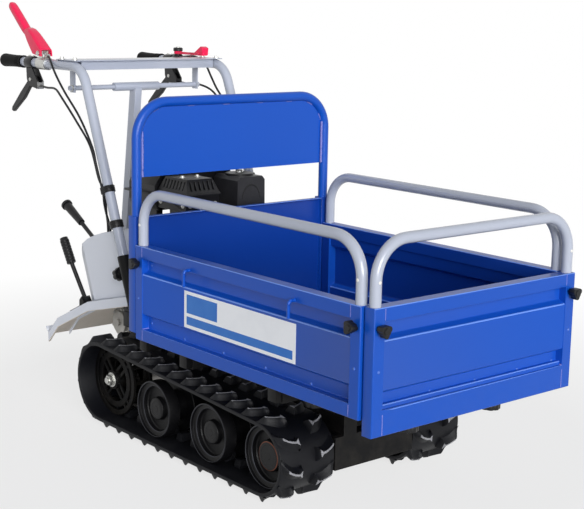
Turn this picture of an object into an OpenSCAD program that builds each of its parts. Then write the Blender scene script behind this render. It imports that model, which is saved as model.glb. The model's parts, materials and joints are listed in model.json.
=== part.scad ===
// Tracked power carrier: a walk-behind crawler with an extending, forward-tipping load box.
// X points to the front of the load box, Y to the machine's left, Z up. The ground is z = 0.

/* [Load box] */
// X of the side panels' rear edge
side_rear = -31; // [-40:1:-25]
// Width over the side panels
box_w = 643; // [600:1:680]
// Width of the front panel
front_w = 630; // [590:1:660]
// Length of a side panel
side_len = 818; // [760:1:840]
// Height of the top edge of all three panels above the ground
panel_top = 537; // [520:1:560]
// Lower edge of the side panels
side_z = 298; // [296:1:306]
// Lower edge of the front panel
front_z = 267; // [264:1:275]
// Square tube of the posts and rails
post = 30; // [29:1:34]
// Gap between neighbouring panels
panel_gap = 4; // [2:1:8]
// Height of the recessed band below the top rail and above the bottom rail
band_h = 40; // [30:1:46]
// Bottom rail of the front panel
front_sill = 55; // [40:1:60]
// How far a recessed band stands behind the posts
band_depth = 20; // [12:1:22]
// Thickness of the pressed sheet
sheet_t = 3; // [2:0.5:4]
// Top of the rear panel
rear_top = 604; // [580:1:630]
// Top of the headboard
headboard_top = 897; // [860:1:930]
// Lower edge of the headboard sheet
headboard_sheet_z = 701; // [660:1:740]

/* [Hoops and knobs] */
// Diameter of the hoop tube
hoop_d = 25; // [23:0.5:25.4]
// Wall of the hoop tube
hoop_wall = 2; // [1.5:0.5:3]
// Top of the hoops above the panels' top edge
hoop_rise = 145; // [125:1:170]
// How deep a hoop leg stands in its post
hoop_depth = 137; // [120:1:145]
// Bend radius of the hoops, on the tube's centre line
hoop_bend = 80; // [60:1:100]
// Diameter of a hoop knob
knob_d = 30; // [26:1:34]
// Height of the hoop knobs above the ground
knob_z = 493; // [485:1:500]
// Diameter of an extension knob
clamp_d = 48; // [40:1:54]

/* [Tracks] */
// Distance of each track's middle from the machine's middle
track_y = 208.5; // [205:0.5:215]
// Width of the rubber track
track_w = 160; // [150:1:166]
// Thickness of the track's carcass
belt_t = 10; // [8:0.5:11]
// Height of the ground lugs
lug_h = 16; // [12:0.5:18]
// Number of lugs round the track
lug_count = 32; // [28:1:34]
// Height of the inner drive lugs
drive_lug_h = 20; // [16:1:22]
// X of the sprocket's axle
sprocket_x = -264; // [-272:1:-258]
// X of the front idler's axle
idler_x = 419; // [410:1:430]
// Outer radius of the carcass round the sprocket
rear_r = 108; // [104:1:112]
// Outer radius of the carcass round the idler
front_r = 88; // [84:1:92]
// Radius of a road wheel
wheel_r = 74; // [68:1:75]
// X of the rear road wheel
wheel_rear_x = -40; // [-50:1:-30]
// X of the front road wheel
wheel_front_x = 195; // [185:1:205]

/* [Handlebar] */
// Half the distance between the two bars
bar_y = 236; // [230:1:242]
// Outer diameter of the bars
bar_d = 27; // [25:0.5:28]
// Wall of the bars
bar_wall = 2; // [1.5:0.5:3]
// Height of the grips' axis
grip_z = 952; // [930:1:970]
// X of the grips' ends
grip_end = -845; // [-860:1:-835]
// Length of a grip
grip_len = 114; // [105:1:122]
// Diameter of a grip
grip_d = 35; // [32:1:36]
// Lean of the bars from upright, in degrees
bar_lean = 22; // [21:0.5:23]
// X of a bar's axis at the engine deck's top
bar_foot_x = -162; // [-168:1:-158]
// Height of the sockets' upper ends
socket_top = 470; // [455:1:480]

/* [Hidden] */
$fn = 48;

// Paints
blue = "royalblue";
silver_grey = "lightsteelblue";
frame_black = [0.12, 0.12, 0.13];
rubber_black = [0.08, 0.08, 0.08];
plastic_black = [0.1, 0.1, 0.11];
cover_grey = [0.72, 0.74, 0.78];
lever_red = [0.85, 0.12, 0.25];
cast_grey = [0.62, 0.63, 0.65];

// Clearances
run_fit = 0.05;
slide_fit = 0.3;
seat = 0.3;

// Places that several pieces share
side_y = box_w / 2;
side_in = side_y - post;
side_front = side_rear + side_len;
box_front = side_front + panel_gap + post;
side_leg_y = side_y - post / 2;
leg_rear_x = side_rear + post / 2;
leg_front_x = side_front - post / 2;
front_leg_x = box_front - post / 2;
front_leg_y = front_w / 2 - post / 2;
hoop_axis_z = panel_top + hoop_rise - hoop_d / 2;
hoop_foot_z = panel_top - hoop_depth;
socket_d = hoop_d + 2 * slide_fit;
socket_depth = 226;
rear_post_front = side_rear - 2;
headboard_x = rear_post_front - post / 2;
headboard_y = side_leg_y - 1.5;
rear_post_z = 312;

// Bed: guide tubes under the floor, and the slide tubes that run in them
slide_tube = 30;
guide_gap = 0.5;
guide_wall = 2.5;
guide_in = slide_tube + 2 * guide_gap;
guide = guide_in + 2 * guide_wall;
floor_t = 3;
floor_z = side_z - 4;
guide_z = floor_z - guide / 2;
cross_guide_x = 490;
rear_guide_x = 150;
front_guide_y = 132;
guide_end = side_in - 3.5;
slide_in = 230;
front_slide_in = 240;
front_in = box_front - post;
clamp_y = side_in - 111.5;
clamp_x = box_front - 78;
hinge_x = 490;
hinge_z = 215;
hinge_pin_r = 8;

// Tracks
rear_z = lug_h + rear_r;
front_axle_z = lug_h + front_r;
wheel_z = lug_h + belt_t + wheel_r + 0.5;
run_len = idler_x - sprocket_x;
half_tilt = atan((rear_r - front_r) / run_len);
top_angle = 90 - 2 * half_tilt;
pitch_rear = rear_r - belt_t / 2;
pitch_front = front_r - belt_t / 2;
rear_arc = pitch_rear * (180 + 2 * half_tilt) * PI / 180;
front_arc = pitch_front * (180 - 2 * half_tilt) * PI / 180;
belt_len = 2 * run_len + rear_arc + front_arc;
axle_r = 12;
wheel_gap = 1;
shaft_r = 15;
flange_in = 22;
flange_out = 55;
beam_out = track_y - flange_out - 3.5;
track_in = track_y - track_w / 2 - 2.5;

// Handlebar
lean = [-sin(bar_lean), 0, cos(bar_lean)];
deck_top = 330;
foot_t = 8;
bar_low_z = 390;
socket_r = bar_d / 2 + 2.5 + slide_fit;
bend_r = 75;
shelf_z = grip_z + bar_d / 2;
rod_x = -515;
rod_z = 889;
brace_pivot_x = -600;
brace_pivot_z = 222;
belt_plane = -190;
engine_shaft = [-225, 440];
gearbox_shaft = [-370, 395];
engine_pulley_r = 36;
gearbox_pulley_r = 56;
clutch_pivot = [-620, 980];
steer_pivot = [-680, 905];
throttle_pivot = [-645, 972];
gear_pivot = [-440, 330];
tip_pivot = [-452, 305];

// General shapes
module box(x, y, z) {
    translate([x[0], y[0], z[0]])
        cube([x[1] - x[0], y[1] - y[0], z[1] - z[0]]);
}

module along_x(p) {
    translate(p) rotate([0, 90, 0]) children();
}

module along_y(p) {
    translate(p) rotate([-90, 0, 0]) children();
}

// A side profile in X and Z, carried across from y0 to y1
module across(y0, y1) {
    translate([0, y1, 0]) rotate([90, 0, 0]) linear_extrude(y1 - y0) children();
}

// A cross profile in Y and Z, carried along from x0 to x1
module lengthwise(x0, x1) {
    translate([x0, 0, 0]) rotate([90, 0, 90]) linear_extrude(x1 - x0) children();
}

module on_left(left) {
    if (left) children();
    else mirror([0, 1, 0]) children();
}

module both_sides() {
    children();
    mirror([0, 1, 0]) children();
}

function unit(v) = v / norm(v);

module bar(a, b, r) {
    v = b - a;
    translate(a)
        rotate([0, acos(v[2] / norm(v)), atan2(v[1], v[0])])
            cylinder(h = norm(v), r = r);
}

// A round bar bent to a radius at each inner point of its path. Its straights lap a little way
// into its bends, which are a hair thicker.
module bent_bar(path, radius, r) {
    lap = 0.3;
    hair = 0.1;
    last = len(path) - 1;
    dirs = [for (i = [0 : last - 1]) unit(path[i + 1] - path[i])];
    turn = [for (i = [1 : last - 1]) acos(dirs[i - 1] * dirs[i])];
    cut = [for (i = [0 : last]) i == 0 || i == last ? 0 : radius * tan(turn[i - 1] / 2)];
    for (i = [0 : last - 1])
        bar(path[i] + dirs[i] * (cut[i] - (i == 0 ? 0 : lap)),
            path[i + 1] - dirs[i] * (cut[i + 1] - (i == last - 1 ? 0 : lap)), r);
    for (i = [1 : last - 1]) {
        start = path[i] - dirs[i - 1] * cut[i];
        inward = unit(dirs[i] - dirs[i - 1] * (dirs[i - 1] * dirs[i]));
        centre = start + inward * radius;
        axis = cross(inward * -1, dirs[i - 1]);
        x = inward * -1;
        y = dirs[i - 1];
        multmatrix([[x[0], y[0], axis[0], centre[0]], [x[1], y[1], axis[1], centre[1]],
                    [x[2], y[2], axis[2], centre[2]], [0, 0, 0, 1]])
            rotate_extrude(angle = turn[i - 1]) translate([radius, 0]) circle(r + hair);
    }
}

function arc(c, r, a0, a1, n) =
    [for (i = [0 : n]) c + r * [cos(a0 + (a1 - a0) * i / n), sin(a0 + (a1 - a0) * i / n)]];

// A lobed hand knob with its stem and threaded stud, standing on z = 0
module lobed_knob(d, lobes, h, stem_h, stud_r, stud_len) {
    lobe_r = d * 0.22;
    translate([0, 0, stem_h]) {
        cylinder(h = h, r = d * 0.36);
        for (i = [0 : lobes - 1])
            translate((d / 2 - lobe_r) * [cos(i * 360 / lobes), sin(i * 360 / lobes), 0])
                cylinder(h = h, r = lobe_r);
        translate([0, 0, h - 1]) cylinder(h = 3, r = d * 0.26);
    }
    cylinder(h = stem_h + 1, r = d * 0.24);
    translate([0, 0, -stud_len]) cylinder(h = stud_len + 1, r = stud_r);
}

// Closed outline of a belt round two wheels
function belt_loop(c1, r1, c2, r2, n) =
    let (d = c2 - c1, base = atan2(d[1], d[0]), g = acos((r1 - r2) / norm(d)))
    concat(arc(c1, r1, base + g, base + 360 - g, n), arc(c2, r2, base - g, base + g, n));

// Welded chassis: two main beams, the track beams with their axles, the front beam and the tip pivots
module main_frame() {
    beam = [60, 100];
    beam_z = [140, 190];
    ear_r = hinge_pin_r + 9;
    axle_end = track_y + flange_out - 12;
    color(frame_black) {
        both_sides() {
            box([-190, hinge_x + ear_r], beam, beam_z);
            box([-150, idler_x + 21], [beam[1], beam_out], [85, 135]);
            box([idler_x + 20, hinge_x - 18], [beam[1], track_in], [85, 135]);
            for (y = [[66, 74], [92, 100]]) {
                box([hinge_x - ear_r, hinge_x + ear_r], y, [beam_z[1] - 2, hinge_z]);
                along_y([hinge_x, y[0], hinge_z]) cylinder(h = y[1] - y[0], r = ear_r);
            }
            along_y([hinge_x, 62, hinge_z]) cylinder(h = 42, r = hinge_pin_r);
            box([25, 55], [65, 95], [beam_z[1] - 2, guide_z - guide / 2 - seat]);
            box([-130, -90], [70, beam[1]], [beam_z[1] - 2, deck_top - 40]);
            for (p = [[wheel_rear_x, wheel_z], [wheel_front_x, wheel_z], [idler_x, front_axle_z]])
                along_y([p[0], beam_out - 5, p[1]])
                    cylinder(h = axle_end - beam_out + 5, r = axle_r);
        }
        for (x = [-60, 190])
            box([x, x + 40], [-beam[1] - 5, beam[1] + 5], [95, beam_z[0] + 2]);
        box([hinge_x - 20, hinge_x + ear_r], [-track_in, track_in], [65, beam_z[0] + 5]);
    }
}

// Raised frame that carries the engine and the handlebar sockets
module engine_deck() {
    low = deck_top - 40;
    color(frame_black) {
        both_sides() box([-335, -75], [90, 130], [low, deck_top]);
        box([-190, -140], [-bar_y - 20, bar_y + 20], [low, deck_top]);
        box([-115, -75], [-130, 130], [low, deck_top]);
        box([-335, -300], [-130, 130], [low, deck_top]);
        box([-335, -75], [-130, 130], [deck_top - 1, deck_top + 5]);
    }
}

// Place and outward direction on the track at a distance s along its pitch line, from the
// front of the ground run towards the rear
function track_at(s) =
    s < run_len ? [idler_x - s, lug_h, -90]
    : s < run_len + rear_arc
        ? let (a = -90 - (s - run_len) / pitch_rear * 180 / PI)
          [sprocket_x + rear_r * cos(a), rear_z + rear_r * sin(a), a]
    : s < 2 * run_len + rear_arc
        ? let (t = s - run_len - rear_arc)
          [sprocket_x + rear_r * cos(top_angle) + t * sin(top_angle),
           rear_z + rear_r * sin(top_angle) - t * cos(top_angle), top_angle]
    : let (a = top_angle - (s - 2 * run_len - rear_arc) / pitch_front * 180 / PI)
      [idler_x + front_r * cos(a), front_axle_z + front_r * sin(a), a];

// A ground lug of one half of the tread: swept forward towards the middle, narrow on top and
// flared at its inner end
module ground_lug() {
    root = 5;
    sweep = tan(22);
    outer = track_w / 2 - 1;
    inner = 22;
    base_half = 17;
    // Distance from the middle, half width and height of each end, at the root and on top
    ends = [[outer, base_half, -root], [inner, base_half, -root],
            [outer - 12, 4, lug_h], [inner + 6, 9, lug_h]];
    function middle(y) = (outer - y) * sweep - (outer - inner) * sweep / 2;
    points = [for (e = ends, side = [-1, 1]) [middle(e[0]) + side * e[1], e[0], e[2]]];
    polyhedron(points, [[2, 3, 1, 0], [5, 7, 6, 4], [1, 5, 4, 0], [6, 7, 3, 2],
                        [6, 2, 0], [4, 6, 0], [7, 5, 1], [3, 7, 1]]);
}

// Rubber track: carcass, two staggered rows of ground lugs outside and drive lugs inside
module track() {
    root = 5;
    drive_w = 36;
    drive_u = 24;
    rear_c = [sprocket_x, rear_z];
    front_c = [idler_x, front_axle_z];
    color(rubber_black) {
        difference() {
            across(track_y - track_w / 2, track_y + track_w / 2)
                polygon(belt_loop(rear_c, rear_r, front_c, front_r, 20));
            across(track_y - track_w / 2 - 1, track_y + track_w / 2 + 1)
                polygon(belt_loop(rear_c, rear_r - belt_t, front_c, front_r - belt_t, 20));
        }
        for (i = [0 : lug_count - 1]) {
            p = track_at((i + 0.5) * belt_len / lug_count);
            q = track_at(i * belt_len / lug_count);
            translate([p[0], track_y, p[1]]) rotate([0, 90 - p[2], 0]) {
                ground_lug();
                translate([-drive_u / 2, -drive_w / 2, -belt_t - drive_lug_h])
                    cube([drive_u, drive_w, drive_lug_h + root]);
            }
            translate([q[0], track_y, q[1]]) rotate([0, 90 - q[2], 0]) mirror([0, 1, 0]) ground_lug();
        }
    }
}

module right_track() { on_left(false) track(); }
module left_track() { on_left(true) track(); }

// Cast gearbox between the tracks, with the output housings, the rear lobe and the input neck
module gearbox() {
    half = 95;
    axle = [sprocket_x, rear_z];
    lobe = [-416, 235];
    neck = [gearbox_shaft[0] - 25, gearbox_shaft[0] + 25];
    color(cast_grey) difference() {
        union() {
            across(-half, half)
                polygon([[-190, 130], [-190, 195], [-270, 290], [-345, 290], [-416, 281],
                         [-462, 235], [-440, 200], [-330, 110], [axle[0], axle[1] - 62], [-210, 95]]);
            along_y([lobe[0], -half, lobe[1]]) cylinder(h = 2 * half, r = 46);
            along_y([axle[0], -half, axle[1]]) cylinder(h = 2 * half, r = 62);
            along_y([axle[0], -beam_out, axle[1]]) cylinder(h = 2 * beam_out, r = 42);
            both_sides() {
                along_y([lobe[0], half - 1, lobe[1]]) cylinder(h = 24, r = 43);
                along_y([lobe[0], half + 22, lobe[1]]) cylinder(h = 9, r = 32);
                along_y([lobe[0], half + 30, lobe[1]]) cylinder(h = 7, r = 9, $fn = 6);
                box([-425, -405], [55, 85], [240, 290]);
            }
            box(neck, [-half, -55], [285, gearbox_shaft[1]]);
            box([-384, -364], [60, 80], [280, 300]);
            along_y([gearbox_shaft[0], -160, gearbox_shaft[1]]) cylinder(h = 105, r = 25);
        }
        both_sides() along_y([axle[0], 60, axle[1]]) cylinder(h = 100, r = shaft_r + run_fit);
        along_y([gearbox_shaft[0], -161, gearbox_shaft[1]]) cylinder(h = 91, r = 10 + run_fit);
    }
}

// Air-cooled engine: crankcase, fan housing, finned cylinder head and tank posts
module engine_block() {
    base = deck_top + 5;
    head_top = 590;
    color(plastic_black) difference() {
        union() {
            across(-150, 120)
                polygon([[-330, base], [-120, base], [-120, 450], [-160, 500], [-290, 500], [-330, 460]]);
            along_y([engine_shaft[0], 119, engine_shaft[1]]) cylinder(h = 66, r = 78);
            along_y([engine_shaft[0], 184, engine_shaft[1]]) cylinder(h = 18, r = 58);
            along_y([engine_shaft[0], -172, engine_shaft[1]]) cylinder(h = 30, r = 30);
            box([-190, -95], [-95, 95], [448, head_top - 12]);
            for (z = [510 : 14 : head_top - 14]) box([-200, -85], [-112, 112], [z, z + 5]);
            box([-195, -90], [-105, 105], [head_top - 14, head_top]);
            for (y = [-110, 90]) box([-320, -250], [y, y + 20], [490, 580]);
        }
        along_y([engine_shaft[0], -173, engine_shaft[1]]) cylinder(h = 33, r = 10 + run_fit);
    }
}

// Slotted guard over the muffler: a box with a hipped louvred top above a rolled band
module muffler_guard() {
    x = [-218, -92];
    y = [-126, -18];
    z = [590, 674];
    band = 640;
    hip = 14;
    slot = 6;
    pitch = 14;
    color(plastic_black) difference() {
        union() {
            intersection() {
                lengthwise(x[0], x[1])
                    polygon([[y[0], z[0]], [y[1], z[0]], [y[1], band], [y[1] - hip, z[1]],
                             [y[0] + hip, z[1]], [y[0], band]]);
                across(y[0], y[1])
                    polygon([[x[0], z[0]], [x[1], z[0]], [x[1], band], [x[1] - hip, z[1]],
                             [x[0] + hip, z[1]], [x[0], band]]);
            }
            box([x[0] + 1, x[1] + 3], [y[0] - 3, y[1] + 2], [band - 8, band - 2]);
        }
        for (at = [y[0] + 17 : pitch : y[1] - 20])
            box([x[1] - 16, x[1] + 1], [at, at + slot], [band + 5, z[1] - 6]);
        for (at = [x[0] + 18 : pitch : x[1] - 22])
            box([at, at + slot], [y[0] - 1, y[0] + 16], [band + 5, z[1] - 6]);
    }
}

// Air cleaner with its lid and wing nut
module air_box() {
    x = [-218, -110];
    y = [56, 150];
    z = [590, 668];
    middle = [(x[0] + x[1]) / 2, (y[0] + y[1]) / 2];
    color(plastic_black) {
        lengthwise(x[0], x[1])
            polygon([[y[0], z[0]], [y[1], z[0]], [y[1] - 1, z[1] - 10], [y[1] - 10, z[1]],
                     [y[0] + 10, z[1]], [y[0] + 1, z[1] - 10]]);
        translate([middle[0], middle[1], z[1] - 1]) cylinder(h = 6, r = 38);
        translate([middle[0], middle[1], z[1] + 4]) cylinder(h = 9, r = 7, $fn = 6);
    }
}

// Fuel tank with its seam and cap
module fuel_tank() {
    x = [-345, -222];
    y = 135;
    z = [580, 688];
    seam = [622, 628];
    color(plastic_black) {
        lengthwise(x[0], x[1])
            polygon([[-y + 14, z[0]], [y - 14, z[0]], [y, z[0] + 20], [y, z[1] - 40],
                     [y - 30, z[1]], [-y + 30, z[1]], [-y, z[1] - 40], [-y, z[0] + 20]]);
        box([x[0] - 9, x[1] - 10], [-y - 10, y + 10], seam);
        translate([(x[0] + x[1]) / 2, 30, z[1] - 1]) cylinder(h = 16, r = 27);
    }
}

// Line of the rear guard's top face, from the front ear down to the rear edge
guard_line = [[-617, 179], [-563, 234], [-468, 279], [-398, 312], [-196, 364]];
function guard_top(x) = lookup(x, guard_line);
function strip(pts, low, high) =
    concat([for (p = pts) p + [0, low]], [for (i = [len(pts) - 1 : -1 : 0]) pts[i] + [0, high]]);
guard_t = 4;
guard_y = bar_y;

// Curved sheet behind and above the tracks, with a rolled rim on both sides
module rear_guard() {
    rim = 26;
    ear_in = 150;
    apron = [for (i = [0 : 3]) guard_line[i]];
    ear = [for (i = [3, 4]) guard_line[i]];
    lip = [[-636, 196], guard_line[0]];
    color(cover_grey) {
        across(-guard_y, guard_y) polygon(strip(apron, -guard_t, 0));
        across(-guard_y, guard_y) polygon(strip(lip, -guard_t, 0));
        both_sides() {
            across(ear_in, guard_y) polygon(strip(ear, -guard_t, 0));
            across(guard_y - 4, guard_y + 3) polygon(strip(apron, -rim, 1));
            across(guard_y - 4, guard_y + 3) polygon(strip(ear, -rim, 1));
            box([-425, -405], [60, 80], [290, guard_top(-415) - guard_t / 2]);
        }
    }
}

// Light cover over the drive belt, open towards the engine, with a slot for the control cables
module belt_cover() {
    wall = 3;
    outer_y = -215;
    inner_y = -165;
    rear_lean = 22.3;
    foot = [for (x = [-434, -398, -196, -165]) [x, guard_top(x) + seat + (x > -196 ? 8 : 0)]];
    roof = [[-165, 540], [-242, 536], [-353, 510], [-400, 496], [-436, 481], [-464, 463], [-481, 444],
            [-487, 424]];
    inner_roof = [[-165 - wall, 300], [-165 - wall, 540 - wall], [-242, 536 - wall], [-353, 510 - wall],
                  [-399, 496 - wall], [-434.5, 481 - wall]];
    color(cover_grey) difference() {
        across(outer_y, inner_y) polygon(concat(foot, roof));
        // The outer face turns in towards the rear edge
        translate([-487, 0, 424]) rotate([0, -rear_lean, 0]) translate([0, 0, -190])
            linear_extrude(height = 300)
                polygon([[-20, outer_y - 4], [38, outer_y - 4], [38, outer_y], [0, outer_y + 15],
                         [-20, outer_y + 23]]);
        across(outer_y + wall, inner_y + 1)
            polygon(concat(inner_roof, [[-443, 472.5], [-443, 424], [-392, 300]]));
        across(outer_y + 8 + wall, inner_y + 1)
            polygon(concat(inner_roof, [[-458, 462], [-465, 450], [-465, 424], [-414, 300]]));
        across(outer_y + 15 + wall, inner_y + 1)
            polygon(concat(inner_roof, [[-461.5, 460.5], [-478, 442.5], [-484, 424], [-432, 300]]));
        box([-362, -312], [-211, -188], [480, 560]);
    }
}

// Tube sockets for the two bars, each with its foot plate and clamp boss
bar_knob_z = 432;
knob_seat = 26;
function bar_x(z) = bar_foot_x - (z - deck_top) * tan(bar_lean);

module at_bar(z) {
    translate([bar_x(z), bar_y, z]) children();
}

module handlebar_sockets() {
    low = deck_top + foot_t;
    color(frame_black) both_sides() difference() {
        union() {
            difference() {
                bar([bar_x(deck_top - 20), bar_y, deck_top - 20],
                    [bar_x(socket_top), bar_y, socket_top], socket_r);
                box([bar_x(deck_top) - 60, bar_x(deck_top) + 60],
                    [bar_y - 40, bar_y + 40], [deck_top - 60, deck_top]);
            }
            box([bar_x(deck_top) - 28, bar_x(deck_top) + 22], [bar_y - 18, bar_y + 18], [deck_top, low]);
            at_bar(bar_knob_z) rotate([0, -90 - bar_lean, 0]) cylinder(h = knob_seat, r = 9);
        }
        bar([bar_x(low), bar_y, low], [bar_x(socket_top + 20), bar_y, socket_top + 20],
            bar_d / 2 + slide_fit);
        at_bar(bar_knob_z) rotate([0, -90 - bar_lean, 0]) cylinder(h = knob_seat + 1, r = 4 + run_fit);
    }
}

module bar_knob() {
    stud = knob_seat - bar_d / 2 - slide_fit;
    color(plastic_black) at_bar(bar_knob_z) rotate([0, -90 - bar_lean, 0])
        translate([0, 0, knob_seat + seat]) lobed_knob(36, 6, 15, 4, 4, stud);
}

module right_bar_knob() { on_left(false) bar_knob(); }
module left_bar_knob() { on_left(true) bar_knob(); }

// V-belt between the engine pulley and the gearbox pulley
module drive_belt() {
    belt_w = 12;
    belt_h = 8;
    color(rubber_black) difference() {
        across(belt_plane - belt_w / 2, belt_plane + belt_w / 2)
            polygon(belt_loop(gearbox_shaft, gearbox_pulley_r + belt_h,
                              engine_shaft, engine_pulley_r + belt_h, 24));
        across(belt_plane - belt_w, belt_plane + belt_w)
            polygon(belt_loop(gearbox_shaft, gearbox_pulley_r, engine_shaft, engine_pulley_r, 24));
    }
}

module pulley(shaft, r, back) {
    groove = 13;
    rim = 6;
    color(cast_grey) {
        along_y([shaft[0], belt_plane - groove / 2 - 1, shaft[1]]) cylinder(h = groove + 2, r = r - 0.5);
        for (y = [belt_plane - groove / 2 - 3, belt_plane + groove / 2])
            along_y([shaft[0], y, shaft[1]]) cylinder(h = 3, r = r + rim);
        along_y([shaft[0], belt_plane - 14, shaft[1]]) cylinder(h = back - belt_plane + 14, r = 10);
    }
}

module engine_pulley() { pulley(engine_shaft, engine_pulley_r, -144); }
module gearbox_pulley() { pulley(gearbox_shaft, gearbox_pulley_r, -75); }

// Pivot stands on the guard for the two floor levers and the brace foot
gear_y = -150;
tip_y = -212;
hub_half = 8.5;
pin_r = 5;

module pivot_stand(x, z, y, plate_rear, plate_front, plate_half) {
    cheek_x = 12;
    across(y - plate_half, y + plate_half)
        polygon(strip([[plate_rear, guard_top(plate_rear)], [plate_front, guard_top(plate_front)]], 0.2, 5));
    for (side = [-1, 1]) {
        c = y + side * (hub_half + 3);
        across(c - 2, c + 2)
            polygon([[x - cheek_x, guard_top(x - cheek_x) + 1], [x + cheek_x, guard_top(x + cheek_x) + 1],
                     [x + cheek_x, z], [x, z + cheek_x], [x - cheek_x, z]]);
    }
    along_y([x, y - hub_half - 5, z]) cylinder(h = 2 * hub_half + 10, r = pin_r);
}

module lever_stands() {
    color(frame_black) {
        pivot_stand(gear_pivot[0], gear_pivot[1], gear_y, -464, -402, 14);
        pivot_stand(tip_pivot[0], tip_pivot[1], tip_y, -505, -438, 20);
        pivot_stand(brace_pivot_x, brace_pivot_z, 0, -612, -575, 18);
    }
}

// Drive sprocket: two spoked discs either side of the drive lugs, joined by drive pins
module sprocket() {
    disc_r = rear_r - belt_t - wheel_gap;
    disc_t = 8;
    lug_tip_r = rear_r - belt_t - drive_lug_h;
    pin_ring = lug_tip_r - 10;
    hub_half_w = flange_in + disc_t + 6;
    color(frame_black) {
        for (y = [-flange_in - disc_t, flange_in])
            along_y([sprocket_x, track_y + y, rear_z]) {
                for (ring = [[disc_r, disc_r - 13], [pin_ring + 8, pin_ring - 8]])
                    difference() {
                        cylinder(h = disc_t, r = ring[0]);
                        translate([0, 0, -1]) cylinder(h = disc_t + 2, r = ring[1]);
                    }
                for (a = [0 : 3], s = [-14, 6])
                    rotate(45 + a * 90) translate([16, s, 0.5]) cube([disc_r - 20, 8, disc_t - 1]);
            }
        for (i = [0 : 9])
            along_y([sprocket_x + pin_ring * cos(i * 36), track_y - flange_in - 1,
                     rear_z + pin_ring * sin(i * 36)])
                cylinder(h = 2 * flange_in + 2, r = 6.5);
        along_y([sprocket_x, track_y - hub_half_w, rear_z]) cylinder(h = 2 * hub_half_w, r = 26);
        along_y([sprocket_x, 62, rear_z]) cylinder(h = track_y - 62, r = shaft_r);
        along_y([sprocket_x, track_y + hub_half_w - 1, rear_z]) cylinder(h = 4, r = 19);
        along_y([sprocket_x, track_y + hub_half_w + 2, rear_z]) cylinder(h = 12, r = 15, $fn = 6);
        along_y([sprocket_x, track_y + hub_half_w + 13, rear_z]) cylinder(h = 6, r = 8);
    }
}

module right_sprocket() { on_left(false) sprocket(); }
module left_sprocket() { on_left(true) sprocket(); }

// Twin-flange wheel that straddles the drive lugs and turns on a stub axle
module wheel(x, z, r, hub_r) {
    core_r = 40;
    out = flange_out;
    color(rubber_black) along_y([x, track_y, z]) difference() {
        rotate_extrude()
            polygon([[0, -out], [r - 3, -out], [r, 3 - out], [r, -flange_in], [core_r, -flange_in],
                     [core_r, flange_in], [r, flange_in], [r, out - 3], [r - 2, out], [r - 4, out],
                     [r - 5, out - 8], [r - 15, out - 10], [r - 17, out - 24], [hub_r + 4, out - 24],
                     [hub_r + 3, out - 10], [hub_r - 3, out - 8], [0, out - 8]]);
        translate([0, 0, -out - 1]) cylinder(h = 2 * out - 10.5, r = axle_r + run_fit);
    }
}

module rear_wheel() { wheel(wheel_rear_x, wheel_z, wheel_r, 26); }
module front_wheel() { wheel(wheel_front_x, wheel_z, wheel_r, 26); }
module idler() { wheel(idler_x, front_axle_z, front_r - belt_t - wheel_gap, 34); }
module right_rear_wheel() { on_left(false) rear_wheel(); }
module left_rear_wheel() { on_left(true) rear_wheel(); }
module right_front_wheel() { on_left(false) front_wheel(); }
module left_front_wheel() { on_left(true) front_wheel(); }
module right_idler() { on_left(false) idler(); }
module left_idler() { on_left(true) idler(); }

// Bed frame: guide tubes for the sliding panels, bearers, cross members and tip lugs
module bed_frame() {
    low = guide_z - guide / 2;
    lug_r = 14;
    inner = guide_in / 2;
    color(frame_black) difference() {
        union() {
            for (x = [cross_guide_x, rear_guide_x])
                box([x - guide / 2, x + guide / 2], [-guide_end, guide_end], [low, floor_z]);
            both_sides() {
                box([cross_guide_x + guide / 2 - 1, front_in - 3],
                    [front_guide_y - guide / 2, front_guide_y + guide / 2], [low, floor_z]);
                box([rear_post_front - post, rear_guide_x - guide / 2 + 1],
                    [front_guide_y - guide / 2, front_guide_y + guide / 2], [low, floor_z]);
                box([rear_guide_x + guide / 2 - 1, cross_guide_x - guide / 2 + 1],
                    [front_guide_y - guide / 2, front_guide_y + guide / 2], [low, floor_z]);
                box([hinge_x - lug_r, hinge_x + lug_r], [78, 88], [hinge_z, low + 1]);
                along_y([hinge_x, 78, hinge_z]) cylinder(h = 10, r = lug_r);
            }
            box([25, 55], [-front_guide_y, front_guide_y], [low, floor_z]);
            box([rear_post_front - post, rear_post_front], [-guide_end, guide_end], [low, floor_z]);
        }
        for (x = [cross_guide_x, rear_guide_x])
            box([x - inner, x + inner], [-guide_end - 1, guide_end + 1], [guide_z - inner, guide_z + inner]);
        both_sides() {
            box([cross_guide_x + guide / 2, front_in],
                [front_guide_y - inner, front_guide_y + inner], [guide_z - inner, guide_z + inner]);
            along_y([hinge_x, 70, hinge_z]) cylinder(h = 26, r = hinge_pin_r + run_fit);
            translate([cross_guide_x, clamp_y, low - 1]) cylinder(h = guide_wall + 2, r = 4 + run_fit);
            translate([clamp_x, front_guide_y, low - 1]) cylinder(h = guide_wall + 2, r = 4 + run_fit);
        }
    }
}

module bed_floor() {
    color(blue)
        box([rear_post_front, front_in - 2], [-side_in + 2, side_in - 2], [floor_z, floor_z + floor_t]);
}

// Rear panel of the load box: two posts that take the headboard, and the sheet between them
module rear_panel() {
    half = headboard_y - post / 2;
    color(blue) {
        both_sides() difference() {
            box([rear_post_front - post, rear_post_front], [half, half + post], [rear_post_z, rear_top + 2]);
            translate([headboard_x, headboard_y, rear_top - 85]) cylinder(h = 90, r = hoop_d / 2 + seat);
        }
        box([headboard_x - 2, headboard_x + 2], [-half - 1, half + 1], [floor_z, rear_top]);
        box([headboard_x - 2, headboard_x + 14], [-half - 1, half + 1], [rear_top - 3, rear_top]);
        box([headboard_x - 2, headboard_x + 14], [-half - 1, half + 1], [floor_z, floor_z + 3 + floor_t]);
    }
}

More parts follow.
